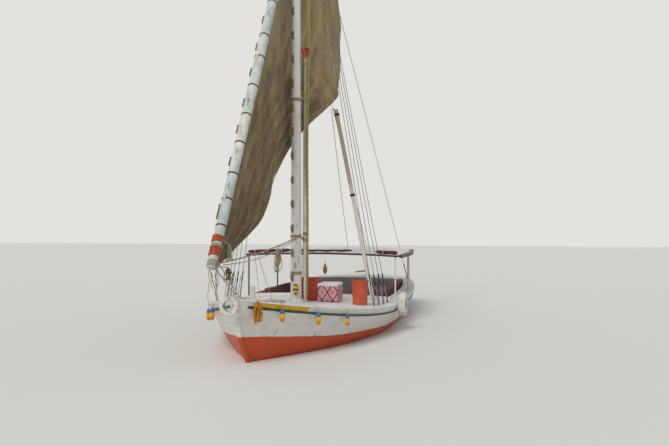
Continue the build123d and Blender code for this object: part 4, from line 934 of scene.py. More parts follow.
def loops_tree(name, finish):
    """Coils of line round a spar: each point gets turns of a thin ring, across its direction."""
    tree, given, out = new_tree(name, {"Line radius": 0.007, "Turns": 3, "Rise": 0.015})
    ring = add(tree, "GeometryNodeCurvePrimitiveCircle", {"Resolution": 20, "Radius": 1.0})
    spread = add(tree, "GeometryNodeMeshLine", {"Count": given.outputs["Turns"]}, mode="OFFSET")
    step = add(tree, "ShaderNodeCombineXYZ", {"Z": given.outputs["Rise"]})
    tree.links.new(step.outputs[0], spread.inputs["Offset"])
    size = add(tree, "GeometryNodeInputNamedAttribute", {"Name": "size"}, data_type="FLOAT")
    way = add(tree, "GeometryNodeInputNamedAttribute", {"Name": "way"}, data_type="FLOAT_VECTOR")
    turned = add(tree, "FunctionNodeAlignRotationToVector", {"Vector": way.outputs["Attribute"]}, axis="Z")
    sets = add(tree, "GeometryNodeInstanceOnPoints",
               {"Points": given.outputs["Geometry"], "Instance": spread.outputs[0],
                "Rotation": turned.outputs[0]})
    loose = add(tree, "GeometryNodeRealizeInstances", sets.outputs[0])
    rings = add(tree, "GeometryNodeInstanceOnPoints",
                {"Points": loose.outputs[0], "Instance": ring.outputs[0],
                 "Rotation": turned.outputs[0], "Scale": size.outputs["Attribute"]})
    lines = add(tree, "GeometryNodeRealizeInstances", rings.outputs[0])
    section = add(tree, "GeometryNodeCurvePrimitiveCircle",
                  {"Resolution": 6, "Radius": given.outputs["Line radius"]})
    cords = add(tree, "GeometryNodeCurveToMesh",
                {"Curve": lines.outputs[0], "Profile Curve": section.outputs[0]})
    return end_tree(tree, cords, finish, out)


def lashings(name, finish, spots, radius, turns, rise, body):
    """Turns of line round a spar at each (place, direction, spar radius)."""
    return bake(name, loops_tree(name, finish), point_cloud(*zip(*spots)),
                {"Line radius": radius, "Turns": turns, "Rise": rise}, body)


# Distances from the yard's heel; the lower ones are read from the photograph
ROBANDS = [0.85, 1.43, 2.013, 2.764, 3.48, 4.26, 5.09, 5.74, 6.8, 7.6,
           8.5, 9.95, 10.8, 11.7, 12.6, 13.5, 14.4, 15.3, 16.2]
lashings("yard_robands", tarred_rope, [(yard_point(d), YARD_WAY, yard_r(d) + 0.004) for d in ROBANDS],
         0.006, 3, 0.012, "lateen")

# %% [markdown]
# Thumb cleats of dark wood sit on the yard's outer side between the robands and keep them from
# sliding down. They are all one block, so Geometry Nodes put it on a row of points.

# %% Thumb cleats on the yard
# Weathered hardwood: dark, so the small cleats show on the pale yard
dark_wood = board_wood("weathered_acacia_cleat", "#6A5A45", "#42372A")


def blocks_tree(finish):
    """A block on every point, its long side along the point's direction."""
    tree, given, out = new_tree("blocks", {"Long": 0.20, "Wide": 0.045, "Tall": 0.045})
    size = add(tree, "ShaderNodeCombineXYZ",
               given.outputs["Tall"], given.outputs["Wide"], given.outputs["Long"])
    lump = add(tree, "GeometryNodeMeshCube", {"Size": size.outputs[0]})
    way = add(tree, "GeometryNodeInputNamedAttribute", {"Name": "way"}, data_type="FLOAT_VECTOR")
    turned = add(tree, "FunctionNodeAlignRotationToVector", {"Vector": way.outputs["Attribute"]}, axis="Z")
    sets = add(tree, "GeometryNodeInstanceOnPoints",
               {"Points": given.outputs["Geometry"], "Instance": lump.outputs[0],
                "Rotation": turned.outputs[0]})
    return end_tree(tree, sets, finish, out)


CLEATS = [1.13, 1.25, 2.35, 3.15, 3.85, 4.7, 5.45, 6.3, 7.2, 8.1, 9.2, 10.4, 11.3, 12.2, 13.1, 14.0]
CLEAT_SEAT = 0.016
YARD_LEFT = np.array((0, -1, 0)) + YARD_WAY * YARD_WAY[1]
YARD_LEFT /= np.linalg.norm(YARD_LEFT)
spots = [(yard_point(d) + YARD_LEFT * (yard_r(d) + CLEAT_SEAT), YARD_WAY, 1.0) for d in CLEATS]
cleats = bake("yard_thumb_cleats", blocks_tree(dark_wood), point_cloud(*zip(*spots)),
              {"Long": 0.20, "Wide": 0.045, "Tall": 0.045}, "lateen")
cleats.data.polygons.foreach_set("use_smooth", [False] * len(cleats.data.polygons))

# %% [markdown]
# Two rags are bound round the yard above its heel as chafing gear. Each is a strip wound on in
# overlapping turns. A helix of a flat, soft-edged section makes that, a little irregular.

# %% Chafing wraps
SIDE_A = np.cross(YARD_WAY, (0, 1, 0))
SIDE_A /= np.linalg.norm(SIDE_A)
SIDE_B = np.cross(YARD_WAY, SIDE_A)


def winding(middle, length, turns, radius, wobble, seed):
    """A strip wound round the yard between two distances, as (vertices, faces)."""
    rng = np.random.default_rng(seed)
    t = np.linspace(0, 1, turns * 28)
    around = 2 * math.pi * turns * t
    distances = middle - length / 2 + length * t + wobble * np.sin(around * 0.37 + rng.uniform(0, 6))
    reach = np.array([yard_r(d) for d in distances]) + radius * (0.55 + 0.25 * np.sin(around * 0.61 + seed))
    path = HEEL + np.outer(distances, YARD_WAY) + np.outer(np.cos(around) * reach, SIDE_A)
    path = path + np.outer(np.sin(around) * reach, SIDE_B)
    return tube_mesh(path, radius, sides=8, lobes=2, lobe=0.12, lay=11)


wraps = [winding(0.32, 0.19, 7, 0.017, 0.006, 3), winding(0.58, 0.125, 5, 0.017, 0.005, 5)]
fit(new_piece("yard_chafing_wraps", *join_meshes(wraps), wrap_cloth), "lateen", "yard_wraps")
print("wraps", len(wraps))

# %% [markdown]
# The awning is a flat canvas laced over three hoops. Between them it sags, and its long edges
# pull in between the lashings. One grid follows the hoops, then two waves lower it: one between
# hoops, one small one for the slack across the cloth.

# %% Awning canvas
# Columns: x of a hoop, half its width
HOOPS = [(0.17, 2.2), (-2.3, 2.2), (-4.75, 1.9)]
FORE_HOOP, AFT_HOOP = HOOPS[0][0], HOOPS[-1][0]
HOOP_GAP, LASHING_GAP = 2.47, 0.494
AWNING_Z, CROWN, CLOTH_UP = 1.92, 0.06, 0.0265
AWNING_CUT = (4.42, 4.99)


def hoop_half(x):
    """Half the awning's width at x."""
    return float(np.interp(x, *zip(*HOOPS[::-1])))


def awning_top(x, y):
    """The height of the hoops' crown line, with the cloth on it."""
    return AWNING_Z + CROWN * (1 - (y / hoop_half(x)) ** 2) + CLOTH_UP


xs = np.linspace(FORE_HOOP + 0.025, AFT_HOOP - 0.025, 110)
shares = np.linspace(-1, 1, 84)
cloth = np.zeros((len(xs), len(shares), 3))
for i, x in enumerate(xs):
    inside = AFT_HOOP < x < FORE_HOOP
    gap = inside * abs(math.sin(math.pi * (x - FORE_HOOP) / HOOP_GAP))
    pull = inside * 0.035 * abs(math.sin(math.pi * (x - FORE_HOOP) / LASHING_GAP))
    for k, share in enumerate(shares):
        y = share * (hoop_half(x) + 0.004 - pull * abs(share) ** 6)
        slack = 0.014 * gap * (1 - share ** 2)
        crease = 0.004 * gap * math.sin(9 * share + 1.7 * x) * math.sin(2.1 * x + 4 * share)
        crease *= 1 - abs(share) ** 4
        cloth[i, k] = (x, y, awning_top(x, min(abs(y), hoop_half(x))) + 0.004 - slack + crease)
canopy, canopy_area = cloth_piece("awning_cloth", cloth, awning_cloth, 0.004)
fit(canopy, "hull", "awning_canopy")
min(canopy_area, AWNING_CUT[0] * AWNING_CUT[1])

# %% [markdown]
# Side curtains are rolled up and tied along the front hoop and both sides. A rolled cloth is a
# spiral seen from its end and a lumpy tube along its length, pinched at each tie. The tube's
# section is a lobed oval here, its radius swells between ties, and its folds wind slowly.

# %% Rolled side curtains
ROLL_R, TIE_GAP = 0.056, 0.42


def curtain_roll(points, radius, seed):
    """A rolled curtain's mesh, and the places and directions of its ties."""
    path = nurbs_path(points, 0.022)
    steps = steps_along(path)
    rng = np.random.default_rng(seed)
    lumps = soften(rng.uniform(-1, 1, len(path)), 14)
    swell = 0.80 + 0.2 * np.abs(np.sin(math.pi * steps / TIE_GAP)) ** 0.6 + 0.22 * lumps
    ends = np.clip(np.minimum(steps, steps[-1] - steps) / 0.05, 0.55, 1)
    path = path - np.array((0, 0, 0.010)) * (np.sin(math.pi * steps / TIE_GAP) ** 2)[:, None]
    slope = np.gradient(path, axis=0)
    slope /= np.linalg.norm(slope, axis=1)[:, None]
    at = np.searchsorted(steps, np.arange(0.2, steps[-1], TIE_GAP))
    ties = [(path[j], slope[j], ROLL_R * 0.98) for j in at]
    return tube_mesh(path, radius * swell * ends, sides=16, lobes=5, lobe=0.10, lay=30), ties


rolls = []
for number, ends in enumerate([(-2.19, -0.88), (1.58, 2.19)]):
    spots = [(FORE_HOOP - ROLL_R, y, awning_top(FORE_HOOP, y) + 0.012 + ROLL_R)
             for y in np.linspace(*ends, 5)]
    rolls.append(curtain_roll(spots, ROLL_R, 11 + number))
# The middle curtain has slipped back over the canvas: y, how far back, and how high it lies there
SLIPPED = [(-0.90, 0.0, 0.062), (-0.5, 0.0, 0.058), (0.0, 0.02, 0.055), (0.45, 0.10, 0.060),
           (0.85, 0.30, 0.062)]
spots = [(FORE_HOOP - 0.06 - back, y, awning_top(FORE_HOOP, y) + up) for y, back, up in SLIPPED]
rolls.append((curtain_roll(spots, 0.034, 17)[0], []))
for side in (1, -1):
    for number, ((x1, half1), (x2, half2)) in enumerate(zip(HOOPS, HOOPS[1:])):
        taper = (half1 - half2) / (x1 - x2)
        out = (ROLL_R + 0.0003) * math.hypot(1, taper) + taper * 0.022
        start = (x1 - 2 * ROLL_R, side * (half1 - taper * 2 * ROLL_R + out), AWNING_Z)
        end = (x2 + ROLL_R / 2, side * (half2 + taper * ROLL_R / 2 + out), AWNING_Z)
        rolls.append(curtain_roll(np.linspace(start, end, 7), ROLL_R, 20 + number + 3 * side))
curtains = new_piece("rolled_side_curtains", *join_meshes([mesh for mesh, _ in rolls]), roll_cloth)
fit(curtains, "hull", "awning_rolls")
lashings("curtain_ties", pale_rope, [tie for _, ties in rolls for tie in ties], 0.005, 2, 0.011, "hull")

# %% [markdown]
# The benches carry three long cushions a side with bolsters behind them. A cushion is a closed
# form: crowned on top, with sides that pull in between the corners and a seam all round. One
# shape is a finely cut block whose points are moved, then each place gets its own seat dents.

# %% Cushions


def block(size, cuts):
    """A closed box of many small faces."""
    bm = bmesh.new()
    bmesh.ops.create_cube(bm, size=1.0)
    bmesh.ops.scale(bm, vec=size, verts=bm.verts)
    for axis in range(3):
        for j in range(1, cuts[axis]):
            spot = [0, 0, 0]
            spot[axis] = size[axis] * (j / cuts[axis] - 0.5)
            way = [0, 0, 0]
            way[axis] = 1
            everything = bm.verts[:] + bm.edges[:] + bm.faces[:]
            bmesh.ops.bisect_plane(bm, geom=everything, plane_co=spot, plane_no=way)
    return bm


def cushion_shape(size, cuts, crown, pull, round_off):
    """A pad's mesh: crowned faces, corners rounded, sides pulled in, a seam line round the middle."""
    bm = block(size, cuts)
    half = np.array(size) / 2
    for v in bm.verts:
        p = np.array(v.co)
        u = p / half
        bulge = [(1 - abs(u[(k + 1) % 3]) ** 3) * (1 - abs(u[(k + 2) % 3]) ** 3) for k in range(3)]
        core = np.clip(np.abs(p) - (half - round_off), 0, None)
        reach = np.linalg.norm(core)
        if reach > round_off:
            p = np.sign(p) * (np.minimum(np.abs(p), half - round_off) + core * round_off / reach)
        p[2] *= 1 + crown * bulge[2] / half[2]
        wave = pull * math.cos(math.pi * u[0]) * 0.5
        p[1] -= math.copysign(1, p[1]) * (pull + wave) * 0.5 * (abs(u[1]) > 0.98)
        groove = math.exp(-(p[2] / 0.010) ** 2) * (max(abs(u[0]), abs(u[1])) > 0.97) * 0.006
        p[0] -= math.copysign(groove, p[0]) * (abs(u[0]) > 0.97)
        p[1] -= math.copysign(groove, p[1]) * (abs(u[1]) > 0.97)
        v.co = p
    bmesh.ops.recalc_face_normals(bm, faces=bm.faces)
    mesh = bpy.data.meshes.new("cushion")
    bm.to_mesh(mesh)
    bm.free()
    return mesh


def place_cushions(name, shape, spots, finish, node):
    """One object a node: copies of the shape at each spot."""
    vertices, faces = [], []
    for number, spot in enumerate(spots):
        rng = np.random.default_rng(number + 31)
        start = len(vertices)
        dent = rng.uniform(-0.35, 0.35, 2)
        for v in shape.vertices:
            p = Vector(v.co)
            if p.z > 0:
                p.z -= 0.012 * math.exp(-((p.x / 0.5 - dent[0]) ** 2 + (p.y / 0.3 - dent[1]) ** 2) * 2)
            vertices.append(p + Vector(spot))
        faces += [[i + start for i in face.vertices] for face in shape.polygons]
    piece = new_piece(name, vertices, faces, finish)
    fit(piece, "hull", node)
    print(name, len(spots), "cushions")


BENCH_Z, BENCH_AFT, PAD_Y, BOLSTER_Y = 0.5605, -4.3, 1.255, 1.6253
PAD = (1.4753, 0.604, 0.146)
PAD_X = [BENCH_AFT + PAD[0] / 2 + k * (PAD[0] + 0.012) for k in range(3)]
pad_size = (PAD[0] - 0.006, PAD[1] - 0.004, PAD[2] - 0.008)
pad_shape = cushion_shape(pad_size, (44, 20, 8), 0.005, 0.004, 0.035)
spots = [(x, side * PAD_Y, BENCH_Z + PAD[2] / 2) for side in (1, -1) for x in PAD_X]
place_cushions("bench_cushions", pad_shape, spots, pad_cloth, "bench_pads")
bolster_shape = cushion_shape((PAD[0] - 0.008, 0.122, 0.39), (44, 7, 14), 0.003, 0.004, 0.045)
spots = [(x, side * BOLSTER_Y, BENCH_Z + 0.2) for side in (1, -1) for x in PAD_X]
place_cushions("bench_bolsters", bolster_shape, spots, pad_cloth, "bolsters")

# %% [markdown]
# The pouffe by the tubs is a stuffed cube with a white top and pink sides, quilted in crossed
# lines with a dot in each diamond. The lines are worked out from the distance along each side,
# so they keep one size on every face: a diamond is 280 mm wide and 400 mm tall.

# %% Pouffe
# Printed cotton: pink with wine-red lines that follow the quilting
pouffe_cloth = woven("quilted_pink_pouffe_cotton", "#D9A0A6", "#CC8790", "#A86872", patch=0.1)
NET_WIDE, NET_TALL = 0.28, 0.40
low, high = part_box("pouffe")
centre = (low + high) / 2
from_x = pouffe_cloth.add("ShaderNodeMath", pouffe_cloth.x, centre.x, operation="SUBTRACT")
from_y = pouffe_cloth.add("ShaderNodeMath", pouffe_cloth.y, centre.y, operation="SUBTRACT")
x_out = pouffe_cloth.add("ShaderNodeMath", from_x, operation="ABSOLUTE")
y_out = pouffe_cloth.add("ShaderNodeMath", from_y, operation="ABSOLUTE")
on_end = pouffe_cloth.add("ShaderNodeMath", x_out, y_out, operation="GREATER_THAN")
aside = pouffe_cloth.add("ShaderNodeMix", on_end, from_x, from_y)
aside = pouffe_cloth.add("ShaderNodeMath", aside, 1 / NET_WIDE, operation="MULTIPLY")
rise = pouffe_cloth.add("ShaderNodeMath", pouffe_cloth.z, centre.z, operation="SUBTRACT")
leans = [pouffe_cloth.add("ShaderNodeMath", rise, way / NET_TALL, aside, operation="MULTIPLY_ADD")
         for way in (1, -1)]
lines = [pouffe_cloth.mask((pouffe_cloth.off_middle(lean, 1, 0.5), 0.045, 0.075, 1, 0)) for lean in leans]
net = pouffe_cloth.add("ShaderNodeMath", *lines, operation="MAXIMUM")
# A dot lies where both slanting measures are in the middle of their courses
off_dot = pouffe_cloth.add("ShaderNodeCombineXYZ", *[pouffe_cloth.off_middle(lean, 1) for lean in leans])
off_dot = pouffe_cloth.add("ShaderNodeVectorMath", off_dot, off_dot, operation="DOT_PRODUCT")
dot = pouffe_cloth.mask((off_dot, 0.006, 0.010, 1, 0))
net = pouffe_cloth.add("ShaderNodeMath", net, dot, operation="MAXIMUM")
sides = pouffe_cloth.coat(pouffe_cloth.base, "#6A2A44", net)
top = pouffe_cloth.mask((pouffe_cloth.z, high.z - 0.085, high.z - 0.075))
pouffe_cloth.surface(pouffe_cloth.coat(sides, "#D9D5D2", top))
pouffe_shape = cushion_shape((0.552, 0.552, 0.474), (24, 24, 20), 0.001, 0.004, 0.05)
spots = [(centre.x, centre.y, low.z + 0.2382)]
place_cushions("quilted_pouffe", pouffe_shape, spots, pouffe_cloth, "pouffe")

# %% [markdown]
# Tyres hang as fenders. The solids have the carcass, and the tread is what repeats: rows of
# blocks round the rim. Geometry Nodes place a block on each point of a circle, row by row.

# %% Tyre treads
TREAD_ROWS, ROW_GAP = 3, 1.22


def tread_tree(finish):
    """Rows of blocks round a rim, one row above the other."""
    tree, given, out = new_tree("tread", {"Rim": 0.3, "Count": 40, "Rows": 3, "Pitch": 0.045, "Block": 0.03,
                                          "Tall": 0.008})
    circle = add(tree, "GeometryNodeMeshCircle",
                 {"Vertices": given.outputs["Count"], "Radius": given.outputs["Rim"]}, fill_type="NONE")
    size = add(tree, "ShaderNodeCombineXYZ",
               given.outputs["Block"], given.outputs["Tall"], given.outputs["Pitch"])
    lump = add(tree, "GeometryNodeMeshCube", {"Size": size.outputs[0]})
    outward = add(tree, "GeometryNodeInputPosition")
    turned = add(tree, "FunctionNodeAlignRotationToVector", {"Vector": outward.outputs[0]}, axis="Y")
    ring = add(tree, "GeometryNodeInstanceOnPoints",
               {"Points": circle.outputs[0], "Instance": lump.outputs[0],
                "Rotation": turned.outputs[0]})
    line = add(tree, "GeometryNodeMeshLine", {"Count": given.outputs["Rows"]}, mode="OFFSET")
    gap = add(tree, "ShaderNodeMath", given.outputs["Pitch"], ROW_GAP, operation="MULTIPLY")
    step = add(tree, "ShaderNodeCombineXYZ", {"Z": gap.outputs[0]})
    tree.links.new(step.outputs[0], line.inputs["Offset"])
    rows = add(tree, "GeometryNodeInstanceOnPoints",
               {"Points": line.outputs[0], "Instance": ring.outputs[0]})
    return end_tree(tree, rows, finish, out)


treads = tread_tree(tyre_white)
# Columns: tyre, blocks round it, rim radius, tread width, and the axis that it is turned about
TYRES = [("bow_tyre", 36, 0.1885, 0.055, "Y"), ("side_tyre", 46, 0.3135, 0.115, "X")]
for tyre, count, rim, width, axis in TYRES:
    pitch = width / TREAD_ROWS
    piece = bake(f"{tyre}_tread", treads, bpy.data.meshes.new("start"),
                 {"Rim": rim, "Count": count, "Rows": TREAD_ROWS, "Pitch": pitch / ROW_GAP,
                  "Block": rim * 2 * math.pi / count * 0.7, "Tall": 0.008}, "hull")
    low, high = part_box(tyre)
    turn = Matrix.Rotation(math.radians(90), 4, axis)
    piece.data.transform(Matrix.Translation((low + high) / 2) @ turn @ Matrix.Translation((0, 0, -pitch)))

# %% [markdown]
# Now the running rigging. Lines that join the yard to the hull have to stretch when the yard
# swings; here each is one fixed piece, on neither body. Taut lines are straight; slack ones sag.

# %% Lines between yard and hull


def straight(start, end, sag=0.0, count=7):
    """Points from start to end, lower in the middle by sag."""
    start, end = np.array(start, float), np.array(end, float)
    return [start + (end - start) * t - (0, 0, 4 * sag * t * (1 - t)) for t in np.linspace(0, 1, count)]


def off_mast(y, z):
    """A place on the front of the mast."""
    return MAST_X + mast_r(z), y, z


clew = np.array((0.55, 0.46, 6.05))
masthead_z = 12.2
hoop_lash_z = awning_top(-4.75, 0.35) + 0.012
# Columns: name, end on the hull, end on the yard or sail, radius, finish, sag
CROSSING_LINES = [
    ("tack_line_to_stem", (6.15, 0.0, 1.43), yard_point(0.12) + (0, 0.02, -0.09), 0.018, pale_rope, 0),
    ("tack_line_to_stem_second", (6.08, 0.03, 1.42), yard_point(0.26) + (0, 0.05, -0.1), 0.014, pale_rope, 0),
    ("tack_line_to_rail", (5.32, -0.72, deck_z(5.32, -0.70)), yard_point(0.08) + (0, -0.06, -0.09),
     0.010, hemp, 0),
    ("foot_line_to_mast", off_mast(0.05, 2.46), (6.42, -0.17, 2.04), 0.016, hemp, 0.06),
    ("foot_line_to_mast_second", off_mast(0.06, 2.42), (6.36, -0.15, 2.00), 0.011, pale_rope, 0.13),
    ("drop_line_from_foot_line", (4.86, 0.02, deck_z(4.86, 0.02)), (4.95, -0.07, 2.15),
     0.007, pale_rope, 0.02),
    ("drop_line_from_foot_line_second", (4.62, 0.22, deck_z(4.62, 0.22)), (4.80, -0.06, 2.15),
     0.006, hemp, 0.03),
    ("halyard_to_masthead", (2.33, -0.12, masthead_z), CROSSING + (0, 0.02, 0.14), 0.014, hemp, 0),
    ("halyard_to_masthead_second", (2.40, -0.12, masthead_z), CROSSING + (0.05, 0.02, 0.14), 0.014, hemp, 0),
    ("sheet_to_aft_hoop", (-4.76, 0.35, hoop_lash_z), clew, 0.010, pale_rope, 0.05),
    ("sheet_to_aft_hoop_second", (-4.76, -0.35, hoop_lash_z), clew + (0.1, 0, -0.1), 0.010, hemp, 0.07),
    ("clew_lashing", (1.06, 0.69, 5.80), clew + (0.15, 0.05, -0.1), 0.012, lash_cloth, 0),
]
for name, hull_end, yard_end, radius, finish, sag in CROSSING_LINES:
    piece, _ = rope(name, straight(hull_end, yard_end, sag), radius, finish)
    tuple(hull_end)
    tuple(yard_end)
    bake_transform(piece)
print(len(CROSSING_LINES), "lines between yard and hull")

# %% [markdown]
# Lines on the mast and the pole stay with the hull: the halyard's fall down the mast, and two
# lines beside the upright pole. They hang almost straight, and a few points bend them enough to
# look like rope and not like wire.

# %% Lines along mast and poles
FOOT_Z = deck_z(2.6, 0.0)
POLE_X, POLE_Y = 2.24, 0.205
rope("halyard_fall", [(2.30, -0.12, 12.15), (2.24, -0.15, 9.0), (2.22, -0.16, 5.0),
                      (2.215, -0.165, 1.6), (2.25, -0.15, FOOT_Z + 0.10)],
     0.011, pale_rope, "hull")
rope("pole_side_line", [(2.35, 0.17, 12.1), (2.25, 0.30, 9.4), (2.24, 0.31, 7.6), (2.245, 0.30, 6.9),
                        (2.262, 0.272, 5.6), (2.268, 0.268, 4.2), (2.26, 0.275, 2.8), (2.27, 0.27, 1.7),
                        (2.28, 0.25, FOOT_Z + 0.05)],
     0.027, olive_rope, "hull", spacing=0.05)
rope("pole_side_line_second", [(2.23, 0.14, 6.95), (2.245, 0.145, 4.5), (2.255, 0.15, 2.2),
                               (2.26, 0.14, FOOT_Z + 0.05)],
     0.009, lash_cloth, "hull")
print("lines end at the foredeck, z", round(FOOT_Z, 3))

# %% [markdown]
# A red rag marks the pole's top. A real one is one square of cloth, gathered at a tie, that flares
# up in folds. A grid of points wound round the pole does that: its rows are wider the higher they
# are, and waves round it make the folds.

# %% Rag at the pole's top
RAG_ROWS, RAG_COLUMNS, RAG_Z = 26, 72, 6.90
rag_points = np.zeros((RAG_ROWS, RAG_COLUMNS, 3))
for i, up in enumerate(np.linspace(0, 1, RAG_ROWS)):
    for k, turn in enumerate(np.linspace(0, 2 * math.pi * 0.96, RAG_COLUMNS)):
        flare = 0.040 + 0.085 * up ** 1.1 * (1 + 0.28 * math.sin(2 * turn + 0.6))
        flare += 0.024 * up * math.sin(8 * turn + 1.5 * math.sin(2 * turn))
        rise = 0.24 * math.sin(2.0 * up) * (1 + 0.22 * math.sin(3 * turn + 0.4))
        rise += 0.02 * up * math.cos(9 * turn)
        rag_points[i, k] = (POLE_X + flare * math.cos(turn), POLE_Y + flare * math.sin(turn), RAG_Z + rise)
rag, rag_area = cloth_piece("pole_top_rag", rag_points, rag_cloth, 0.004, -1)
fit(rag, "hull")

# %% [markdown]
# Lashings go round the mast, the pole beside it and the leaning prop. They are turns of line, so
# the same loop tree as the robands sets them out, this time with its points on two or more spars.

# %% Lashings on mast and poles
at_mast = [((MAST_X, 0, z), (0, 0, 1), mast_r(z) + 0.006) for z in (1.55, 2.46, 5.85, 9.2, 11.2, 12.25)]
at_pole = [((POLE_X, POLE_Y, z), (0, 0, 1), 0.050) for z in (2.36, 2.52, 5.86, 6.02, 6.75)]
lashings("mast_lashings", hemp, at_mast + at_pole, 0.008, 5, 0.017, "hull")
prop_foot, prop_tip = np.array((0.75, 1.63, 0.80)), np.array((1.06, 0.69, 5.85))
prop_way = (prop_tip - prop_foot) / np.linalg.norm(prop_tip - prop_foot)
at_prop = [(prop_tip - prop_way * down, prop_way, 0.060) for down in (0.12, 2.3)]
lashings("prop_lashings", lash_cloth, at_prop, 0.012, 3, -0.02, "hull")

# %% [markdown]
# At each shroud's foot a rigging screw tightens the wire. A real one is an open body with a
# threaded rod at each end and an eye on the plate. The screw's body is in the solids; the
# lanyard above it, wound round the wire's end and tarred black, is added here.

# %% Shroud ends
PLATES = [(2.2, 1.93), (1.84, 1.985), (1.43, 2.03), (1.01, 2.06)]
FEET = [(x, side * y) for side in (1, -1) for x, y in PLATES]
BACKSTAY_FOOT = (-5.65, 1.64)
HOUNDS = np.array((MAST_X, 0, 12.1))
wound = []
for x, y in FEET + [BACKSTAY_FOOT]:
    foot = np.array((x, y, (deck_z(x, y) or 0.85) + 0.06))
    away = np.array((x - MAST_X, y, 0))
    top = HOUNDS + away / np.linalg.norm(away) * 0.113
    way = (top - foot) / np.linalg.norm(top - foot)
    wound.append((foot + way * 0.44, way, 0.013))
    if x > 0:
        wound.append((foot + way * 0.60, way, 0.012))
lashings("shroud_seizings", lash_cloth, wound, 0.006, 12, 0.0105, "hull")
for label, side in (("port", 1), ("starboard", -1)):
    strops = []
    for x, y in PLATES:
        foot = np.array((x, side * y, deck_z(x, side * y) + 0.02))
        bends = [foot + spot for spot in ((0.06, 0.03 * side, 0), (0.03, 0.02 * side, 0.30),
                                          (-0.02, 0, 0.52), (-0.05, -0.01 * side, 0.62))]
        strops.append(tube_mesh(nurbs_path(bends, 0.02), 0.008))
    fit(new_piece(f"shroud_lanyards_{label}", *join_meshes(strops), lash_cloth), "hull")

# %% [markdown]
# Each float is a fender on a short lanyard over the rail. Its bands, blue over yellow over
# orange, are painted on, so they follow the float's height. The floats are remade here from a
# turned profile so that each can carry its own band height as an attribute.

# %% Fender floats
# Enamel bands on the floats: small clean spots of colour along the rail
band_paint = Finish("banded_float_enamel", 0.38)
band = band_paint.add("ShaderNodeAttribute", attribute_name="band", out="Fac")
scuffs = band_paint.patches(0.03, 0.55, 0.75, 6)
bands = band_paint.coat("#D9A31C", "#2F5F93", band_paint.mask((band, 0.58, 0.62)))
bands = band_paint.coat(bands, "#CE7A1E", band_paint.mask((band, 0.26, 0.3, 1, 0)))
band_paint.surface(band_paint.coat(bands, "#5B5140", scuffs, 0.6), band_paint.blotch(0.01, 4), 0.8)


def turned(profile, steps=20):
    """A mesh turned from (radius, height) pairs, closed at both ends, and its points' height shares."""
    vertices, shares = [], []
    for r, z in profile:
        for angle in np.arange(steps) * 2 * math.pi / steps:
            vertices.append((r * math.cos(angle), r * math.sin(angle), z))
            shares.append(z / profile[-1][1])
    faces = grid_faces(len(profile), steps, wrap=True)
    faces += [tuple(range(steps))[::-1], tuple((len(profile) - 1) * steps + k for k in range(steps))]
    return vertices, faces, shares


def float_solids():
    """The box of each float in the solids, by splitting the mesh into its islands."""
    bm = bmesh.new()
    bm.from_mesh(nodes["fenders"].data)
    bmesh.ops.remove_doubles(bm, verts=bm.verts, dist=1e-5)
    left, found = set(bm.verts), []
    while left:
        stack, island = [left.pop()], []
        while stack:
            v = stack.pop()
            island.append(v.co.copy())
            for e in v.link_edges:
                w = e.other_vert(v)
                if w in left:
                    left.remove(w)
                    stack.append(w)
        found.append((Vector(np.min(island, axis=0)), Vector(np.max(island, axis=0))))
    bm.free()
    return found


PROFILE = [(0.002, 0), (0.016, 0.002), (0.030, 0.012), (0.043, 0.034), (0.0505, 0.07), (0.052, 0.12),
           (0.0505, 0.16), (0.046, 0.20), (0.036, 0.235), (0.022, 0.252), (0.014, 0.258), (0.014, 0.272),
           (0.002, 0.28)]
vertices, faces, heights_up = turned(PROFILE)
parts, lanyards = [], []
for low, high in float_solids():
    middle = (low + high) / 2
    parts.append(([Vector(v) + Vector((middle.x, middle.y, low.z)) for v in vertices], faces))
    side = 1 if middle.y > 0 else -1
    rail = rail_y(middle.x)
    top = np.array((middle.x, middle.y, high.z - 0.008))
    lip = np.array((middle.x, side * (rail + 0.010), deck_z(middle.x, side * (rail - 0.02)) + 0.004))
    bends = [top, top + (0, 0, 0.04), lip + (0, 0, -0.01), lip + (0, -side * 0.02, 0.016),
             lip + (0.02, -side * 0.14, 0.020)]
    lanyards.append(tube_mesh(nurbs_path(bends, 0.008), 0.005))
floats = new_piece("banded_floats", *join_meshes(parts), band_paint)
heights_up = np.array(heights_up * len(parts), np.float32)
floats.data.attributes.new("band", "FLOAT", "POINT").data.foreach_set("value", heights_up)
fit(floats, "hull", "fenders")
fit(new_piece("float_lanyards", *join_meshes(lanyards), hemp), "hull")
print(len(parts), "floats")

# Tape round a float: yellow and black rings at the mast's foot
float_wrap = Finish("taped_yellow_float", 0.5)
tape = float_wrap.add("ShaderNodeMath", float_wrap.z, 1 / 0.11, operation="MULTIPLY")
tape = float_wrap.add("ShaderNodeMath", tape, operation="FRACT")
tape = float_wrap.mask((tape, 0.62, 0.66))
float_wrap.surface(float_wrap.coat("#D9A81E", "#23201B", tape), float_wrap.blotch(0.012, 4), 1.0)
float_wrap.dress("mast_float")

# %% [markdown]
# The mooring warp lies coiled on the foredeck and the rest of it lies about in slack loops by
# the mast. Rope lies where gravity puts it, so every point takes its height from the deck and
# climbs only where it crosses itself.

